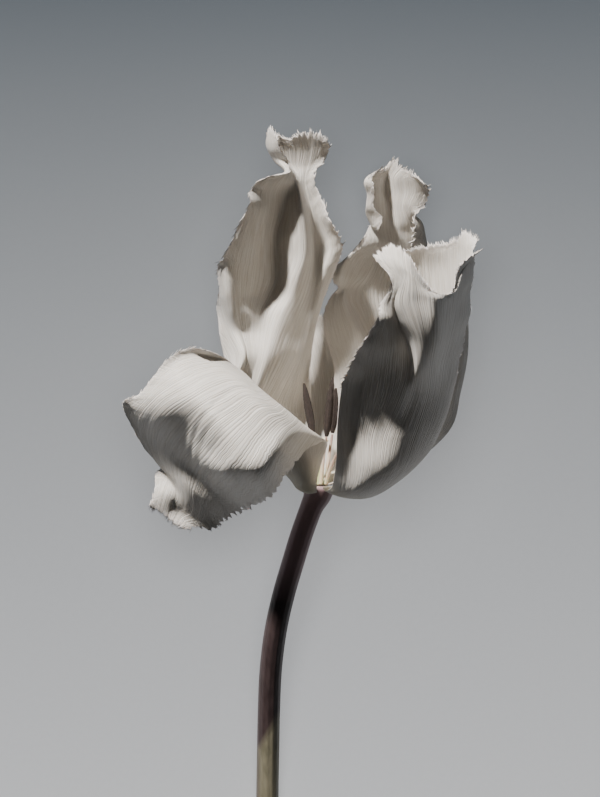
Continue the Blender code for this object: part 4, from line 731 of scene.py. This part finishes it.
class Nodes:
    """A short way to write a material's nodes."""

    def __init__(self, name):
        self.material = bpy.data.materials.new(name)
        self.material.use_nodes = True
        self.tree = self.material.node_tree
        self.shader = self.tree.nodes["Principled BSDF"]

    def add(self, kind, inputs=(), **settings):
        node = self.tree.nodes.new("ShaderNode" + kind)
        for key, value in settings.items():
            setattr(node, key, value)
        self.fill(node, dict(inputs))
        return node

    def fill(self, node, inputs):
        """Links a node's sockets to other nodes, or sets them to constants."""
        for key, value in inputs.items():
            if isinstance(value, bpy.types.NodeSocket):
                self.tree.links.new(value, node.inputs[key])
            else:
                node.inputs[key].default_value = value

    def attribute(self, name):
        return self.add("Attribute", attribute_name=name).outputs["Fac"]

    def place(self):
        return self.add("TexCoord").outputs["Object"]

    def math(self, operation, first, second, clamp=False):
        inputs = {0: first, 1: second}
        return self.add("Math", inputs, operation=operation, use_clamp=clamp).outputs[0]

    def times(self, first, second):
        return self.math("MULTIPLY", first, second)

    def plus(self, first, second):
        return self.math("ADD", first, second)

    def fading(self, distance, reach):
        """1 where the distance is 0, down to 0 where it is the reach or more."""
        return self.math("SUBTRACT", 1.0, self.math("DIVIDE", distance, reach), clamp=True)

    def crisp(self, noise):
        """Clear lines where the noise is high, with nothing between them."""
        return self.math("MULTIPLY", self.math("SUBTRACT", noise, 0.42), 4.0, clamp=True)

    def noise(self, place, scale, detail=3.0):
        return self.add("TexNoise", {"Vector": place, "Scale": scale, "Detail": detail}).outputs["Fac"]

    def streaks(self, at):
        inputs = {"W": at, "Scale": 1.0, "Detail": 2.0}
        return self.add("TexNoise", inputs, noise_dimensions="1D").outputs["Fac"]

    def cells(self, place, scale):
        return self.add("TexVoronoi", {"Vector": place, "Scale": scale}).outputs["Distance"]

    def ramp(self, factor, stops):
        node = self.add("ValToRGB", {0: factor})
        ramp = node.color_ramp
        while len(ramp.elements) < len(stops):
            ramp.elements.new(0.5)
        for element, (position, colour) in zip(ramp.elements, stops):
            element.position = position
            element.color = (*colour, 1.0)
        return node.outputs["Color"]

    def mix(self, factor, *colours):
        first, second = ((*colour, 1.0) if isinstance(colour, tuple) else colour for colour in colours)
        return self.add("Mix", {0: factor, 6: first, 7: second}, data_type="RGBA").outputs[2]

    def bump(self, height, distance, strength=1.0):
        node = self.add("Bump", {"Height": height, "Distance": distance, "Strength": strength})
        self.fill(self.shader, {"Normal": node.outputs[0]})


def petal_material():
    """Veins along the petal, short lines square to its edge, a warm base, a pale rim and fine cells."""
    n = Nodes("petal_tissue")
    vein, along, edge, travelled = (n.attribute(name) for name in ("vein", "along", "edge", "travelled"))
    stretched = n.add("CombineXYZ", {0: n.times(vein, 60.0), 1: n.times(along, 9.0)})
    threads = n.noise(stretched.outputs[0], 1.6, 4.0)
    cream = n.ramp(threads, PETAL_CREAM)
    lines = n.crisp(n.streaks(n.times(vein, 90.0)))
    rungs = n.crisp(n.streaks(n.plus(n.times(travelled, 1.5), edge)))
    drawn = n.math("MAXIMUM", lines, n.times(rungs, n.fading(edge, 6.0)))
    veined = n.mix(n.times(drawn, 0.24), cream, PETAL_VEIN)
    warmed = n.mix(n.times(n.fading(along, 0.16), 0.75), veined, PETAL_BASE)
    fine = n.streaks(n.times(vein, 330.0))
    cells = n.noise(n.place(), 4200.0, 2.0)
    ridged = n.plus(n.times(fine, 0.5), n.math("SUBTRACT", 1.0, drawn))
    n.bump(n.plus(ridged, n.times(cells, 0.15)), 0.00012, 0.8)
    n.fill(n.shader, {
        "Base Color": n.mix(n.times(n.fading(edge, 1.4), 0.5), warmed, PETAL_RIM),
        "Roughness": n.plus(n.times(threads, 0.25), 0.38), "IOR": 1.4, "Sheen Weight": 0.08,
        "Subsurface Weight": 0.2, "Subsurface Radius": (1.0, 0.8, 0.6), "Subsurface Scale": 0.00015,
    })
    return n.material


def stem_material():
    """Long fibres in dark purple, which also stands for painted shade; painted light makes it lighter
    above, where the bloom's shadow falls, and a pale olive part towards the cut end is painted as lit.
    """
    n = Nodes("stem_skin")
    stretched = n.add("Mapping", {"Vector": n.place(), "Scale": (900.0, 60.0, 900.0)}).outputs[0]
    fibres = n.noise(stretched, 1.0, 4.0)
    lower = n.ramp(fibres, STEM_LOWER)
    # Painted light: lighter near the bloom, where the stem lies in the bloom's shadow
    dark = n.mix(n.attribute("shadow_lift"), lower, STEM_SHADOW_LIFT)
    # Painted light: pale olive where the stem is painted as lit
    painted_lit = n.ramp(fibres, STEM_LIT_PAINT)
    n.bump(fibres, 0.00015, 0.7)
    n.fill(n.shader, {
        "Base Color": n.mix(n.attribute("painted_lit"), dark, painted_lit),
        "Roughness": n.plus(n.times(fibres, 0.2), 0.36),
        "Subsurface Weight": 0.1, "Subsurface Radius": (1.0, 0.9, 0.5), "Subsurface Scale": 0.001,
    })
    return n.material


def cut_material():
    n = Nodes("stem_cut")
    pores = n.cells(n.place(), 2600.0)
    n.fill(n.shader, {"Base Color": n.ramp(pores, STEM_PORES), "Roughness": 0.6})
    n.bump(pores, 0.0002, 0.8)
    return n.material


def thread_material():
    n = Nodes("filament_skin")
    mottle = n.noise(n.place(), 900.0)
    colour = n.ramp(n.attribute("along"), THREAD)
    n.fill(n.shader, {
        "Base Color": n.mix(n.times(mottle, 0.3), colour, THREAD_MOTTLE), "Roughness": 0.42,
        "Subsurface Weight": 0.25, "Subsurface Scale": 0.0006,
    })
    n.bump(mottle, 0.0001, 0.6)
    return n.material


def pollen_material():
    n = Nodes("pollen")
    place = n.place()
    grains = n.cells(place, 5200.0)
    clumps = n.noise(place, 1400.0)
    dark = n.ramp(clumps, POLLEN)
    n.fill(n.shader, {"Base Color": n.mix(n.times(grains, 0.4), dark, POLLEN_GRAIN), "Roughness": 0.92})
    n.bump(grains, 0.0003, 1.0)
    return n.material


def ovary_material():
    n = Nodes("ovary_skin")
    mottle = n.noise(n.place(), 1100.0)
    colour = n.ramp(n.attribute("along"), OVARY)
    n.fill(n.shader, {
        "Base Color": n.mix(n.times(mottle, 0.25), colour, OVARY_MOTTLE),
        "Roughness": n.plus(n.times(mottle, 0.2), 0.4),
        "Subsurface Weight": 0.2, "Subsurface Scale": 0.0008,
    })
    n.bump(mottle, 0.00012, 0.6)
    return n.material


def floor_material():
    """Matt paper with a painted light falloff: a little darker towards the far end."""
    n = Nodes("floor_paper")
    place = n.place()
    far = n.add("SeparateXYZ", {0: place}).outputs["Y"]
    # Painted light falloff, darker towards the far end
    shade = n.ramp(n.plus(n.times(far, 4.6), 0.36), ((0.0, FLOOR_NEAR), (1.0, FLOOR_FAR)))
    grain = n.noise(place, 700.0)
    colour = n.mix(n.times(grain, 0.06), shade, FLOOR_FAR)
    n.fill(n.shader, {"Base Color": colour, "Roughness": 0.9, "Specular IOR Level": 0.1})
    n.bump(grain, 0.0001, 0.1)
    return n.material


def around(sides):
    """The angle of each side of a tube."""
    return 2 * math.pi * np.arange(sides) / sides


def ring_edges(first, sides):
    """Each point of a ring with the next one, by number."""
    ring = range(first, first + sides)
    return zip(ring, [*ring[1:], first])


def tube(centre, radius, sides):
    """Rings of points about a line, with one radius for each ring or for each ring and side,
    and the share of the line at which each point lies."""
    forward = np.gradient(centre, axis=0)
    forward /= np.linalg.norm(forward, axis=1, keepdims=True)
    right = np.cross(forward, (0.0, 0.0, 1.0))
    right /= np.linalg.norm(right, axis=1, keepdims=True)
    up = np.cross(right, forward)
    turn = 2 * math.pi * (np.arange(sides) + 0.5) / sides
    outwards = right[:, None] * np.cos(turn)[:, None] + up[:, None] * np.sin(turn)[:, None]
    if radius.ndim == 1:
        radius = radius[:, None] + np.zeros(sides)
    rings = len(centre) - 1
    vertices = (centre[:, None] + outwards * radius[:, :, None]).reshape(-1, 3)
    faces = []
    for first in range(0, rings * sides, sides):
        faces += [[a, b, b + sides, a + sides] for a, b in ring_edges(first, sides)]
    faces += [[a, len(vertices), b] for a, b in ring_edges(0, sides)]
    faces += [[len(vertices) + 1, a, b] for a, b in ring_edges(rings * sides, sides)]
    share = np.repeat(np.linspace(0, 1, rings + 1), sides)
    return np.concatenate([vertices, centre[[0, -1]]]), faces, np.concatenate([share, [0.0, 1.0]])


def outward(vertices, faces):
    """The faces, turned over if they point inwards."""
    fan = [(face[0], b, c) for face in faces for b, c in zip(face[1:], face[2:])]
    corners = vertices[np.array(fan)]
    volume = np.einsum("ij,ij->", corners[:, 0], np.cross(corners[:, 1], corners[:, 2]))
    return faces if volume > 0 else [face[::-1] for face in faces]


def add_tube(node, centre, radius, sides, surface):
    """The piece for a node that is a tube, whose material reads how far along it a point lies."""
    vertices, faces, share = tube(centre, radius, sides)
    return make(node, vertices, faces, surface, {"along": share})


def add_stem(surface, cut):
    """The stem with its domed top, its fine ribs and the flat cut at its end."""
    at = np.linspace(0, 1, 220) ** 1.3
    centre = smooth(STEM_LINE, spread(STEM_LINE), at)
    shaft = STEM_DIAMETER / 2
    flare = RECEPTACLE_DIAMETER / 2 - shaft
    down = np.linalg.norm(centre - centre[0], axis=1)
    radius = shaft + flare * np.exp(-((down / FLARE_LENGTH) ** 1.6))
    dome = centre[0] + np.array([[0.0, DOME_HEIGHT * share, 0.0] for share in (1.0, 0.85, 0.5)])
    centre = np.concatenate([dome, centre])
    radius = np.concatenate([[radius[0] * 0.4, radius[0] * 0.75, radius[0] * 0.93], radius])
    sides = 72
    ribs = sum(height * np.cos(around(sides) * count + start) for height, count, start in STEM_RIBS)
    vertices, faces = tube(centre, radius[:, None] - STEM_INSET + ribs, sides)[:2]
    vertices[:, 2] = np.maximum(vertices[:, 2], -BASE_HEIGHT)
    # Painted light: a pale part painted as lit, below a slanting painted shadow edge and right of a
    # painted shaded strip along the left side
    x, y = vertices[:, 0], vertices[:, 1]
    below = ((x - LIT_PAINT_FROM[0]) * LIT_PAINT_TOWARDS[0] + (y - LIT_PAINT_FROM[1]) * LIT_PAINT_TOWARDS[1]) / LIT_PAINT_SOFTNESS
    inside = (x - LIT_PAINT_LEFT) / LIT_PAINT_SOFTNESS
    painted_lit = np.clip(np.minimum(below, inside), 0, 1)
    # Painted light: the part near the bloom, which lies in the bloom's shadow, is painted lighter
    shadow_lift = np.clip((y - SHADOW_LIFT_FROM) / SHADOW_LIFT_LENGTH, 0, 1)
    piece = make("stem", vertices, faces, surface, {"painted_lit": painted_lit, "shadow_lift": shadow_lift})
    piece.data.materials.append(cut)
    end = len(vertices) - 1
    for polygon in piece.data.polygons:
        if end in polygon.vertices:
            polygon.material_index = 1
            polygon.use_smooth = False
    return piece


def add_stamen(number, foot, neck, tip, thread, pollen):
    """A bowed filament, and the grooved, grainy anther that stands on it, a little apart from it."""
    foot, neck, tip = (np.array(point, float) for point in (foot, neck, tip))
    at = np.linspace(0, 1, 40)[:, None]
    bow = (neck - foot) * np.array(BOW)
    centre = foot + (neck - foot) * at - bow * np.sin(math.pi * at)
    radius = FILAMENT_WIDTH / 2 * np.interp(at[:, 0], np.linspace(0, 1, 5), FILAMENT_PROFILE)
    stalk = add_tube(f"filament_{number}", centre, radius, 20, thread)

    start = neck + (tip - neck) * SEAT_GAP / np.linalg.norm(tip - neck)
    rings, sides = 130, 44
    at = np.linspace(0, 1, rings)[:, None]
    profile = np.interp(at[:, 0], np.linspace(0, 1, 8), ANTHER_PROFILE)
    lobes = 1 - ANTHER_GROOVE * np.abs(np.cos(around(sides) * 2 + number)) ** 6
    grain = np.random.default_rng(SEED * 100 + number).normal(0, ANTHER_GRAIN, (rings, sides))
    radius = ANTHER_WIDTH / 2 * ANTHER_INSET * profile[:, None] * lobes[None, :] * (1 + grain)
    anther = add_tube(f"anther_{number}", start + (tip - start) * at, radius, sides, pollen)
    return [stalk, anther]


def add_pistil(surface):
    """The furrowed ovary, with the three lobes of the stigma on top."""
    at = np.linspace(0, 1, 90)
    centre = smooth(PISTIL_LINE, spread(PISTIL_LINE), at)
    profile = smooth(PISTIL_PROFILE, PISTIL_KNOTS, at)
    sides = 72
    crown = np.clip((at - 0.8) / 0.1, 0, 1)[:, None]
    lobes = 1 + (STIGMA_LOBES * crown - OVARY_FURROWS * (1 - crown)) * np.cos(3 * around(sides))[None, :]
    return add_tube("pistil", centre, PISTIL_WIDTH / 2 * profile[:, None] * lobes, sides, surface)


def add_petals(surface):
    made = []
    for name, settings in PETALS.items():
        vertices, faces, values, flat = petal_mesh(name, *settings)
        made.append(make(name, vertices, faces, surface, values, flat))
    return made


def area_light(name, place, size, power, colour, shines_on, shaded_by=None):
    """A round soft light on one collection alone, in which everything or one collection casts shadows.
    Its place is measured from the target, which it faces."""
    light = bpy.data.lights.new(name, "AREA")
    light.shape = "DISK"
    light.size = size
    light.energy = power
    light.color = colour
    lamp = placed(name, light)
    lamp.location = TARGET + np.array(place)
    lamp.rotation_euler = (lamp.location - Vector(TARGET)).to_track_quat("Z", "Y").to_euler()
    lamp.visible_camera = False
    lamp.light_linking.receiver_collection = shines_on
    lamp.light_linking.blocker_collection = shaded_by


def group(name, pieces):
    made = bpy.data.collections.new(name)
    for piece in pieces:
        made.objects.link(piece)
    return made


def stage(pieces):
    """A plain floor under soft light, and the camera straight above."""
    mesh = bpy.data.meshes.new("floor")
    corners = [(x * FLOOR_REACH, y * FLOOR_REACH, 0) for x, y in ((-1, -1), (1, -1), (1, 1), (-1, 1))]
    mesh.from_pydata(corners, [], [(0, 1, 2, 3)])
    mesh.materials.append(floor_material())
    floor = placed("floor", mesh)

    flower, ground = group("flower", pieces), group("ground", [floor])
    key = np.array(KEY_DIRECTION) / np.linalg.norm(KEY_DIRECTION) * KEY_DISTANCE
    area_light("key", key, KEY_SIZE, KEY_POWER, KEY_COLOUR, flower)
    area_light("fill", FILL_PLACE, FILL_SIZE, FILL_POWER, FILL_COLOUR, flower)
    for name, power, shaded_by in (
        ("floor_light", FLOOR_POWER * (1 - FLOOR_SHADE), ground),
        ("floor_shade", FLOOR_POWER * FLOOR_SHADE, None),
    ):
        area_light(name, FLOOR_LIGHT_PLACE, FLOOR_LIGHT_SIZE, power, FLOOR_LIGHT_COLOUR, ground, shaded_by)

    world = bpy.data.worlds.new("studio")
    bpy.context.scene.world = world
    world.use_nodes = True
    back = world.node_tree.nodes["Background"]
    back.inputs[0].default_value = (*SKY_COLOUR, 1.0)
    back.inputs[1].default_value = AMBIENT

    camera = bpy.data.cameras.new("camera")
    camera.lens = LENS
    camera.clip_end = FURTHEST_SEEN
    eye = placed("camera", camera)
    distance = VIEW_HEIGHT * MM * LENS / camera.sensor_width
    eye.location = TARGET + np.array([0.0, 0.0, distance])
    bpy.context.scene.camera = eye


pieces = add_petals(petal_material())
pieces.append(add_stem(stem_material(), cut_material()))
thread, pollen = thread_material(), pollen_material()
for number, (foot, neck, tip) in enumerate(STAMENS, 1):
    pieces += add_stamen(number, foot, neck, tip, thread, pollen)
pieces.append(add_pistil(ovary_material()))
stage(pieces)
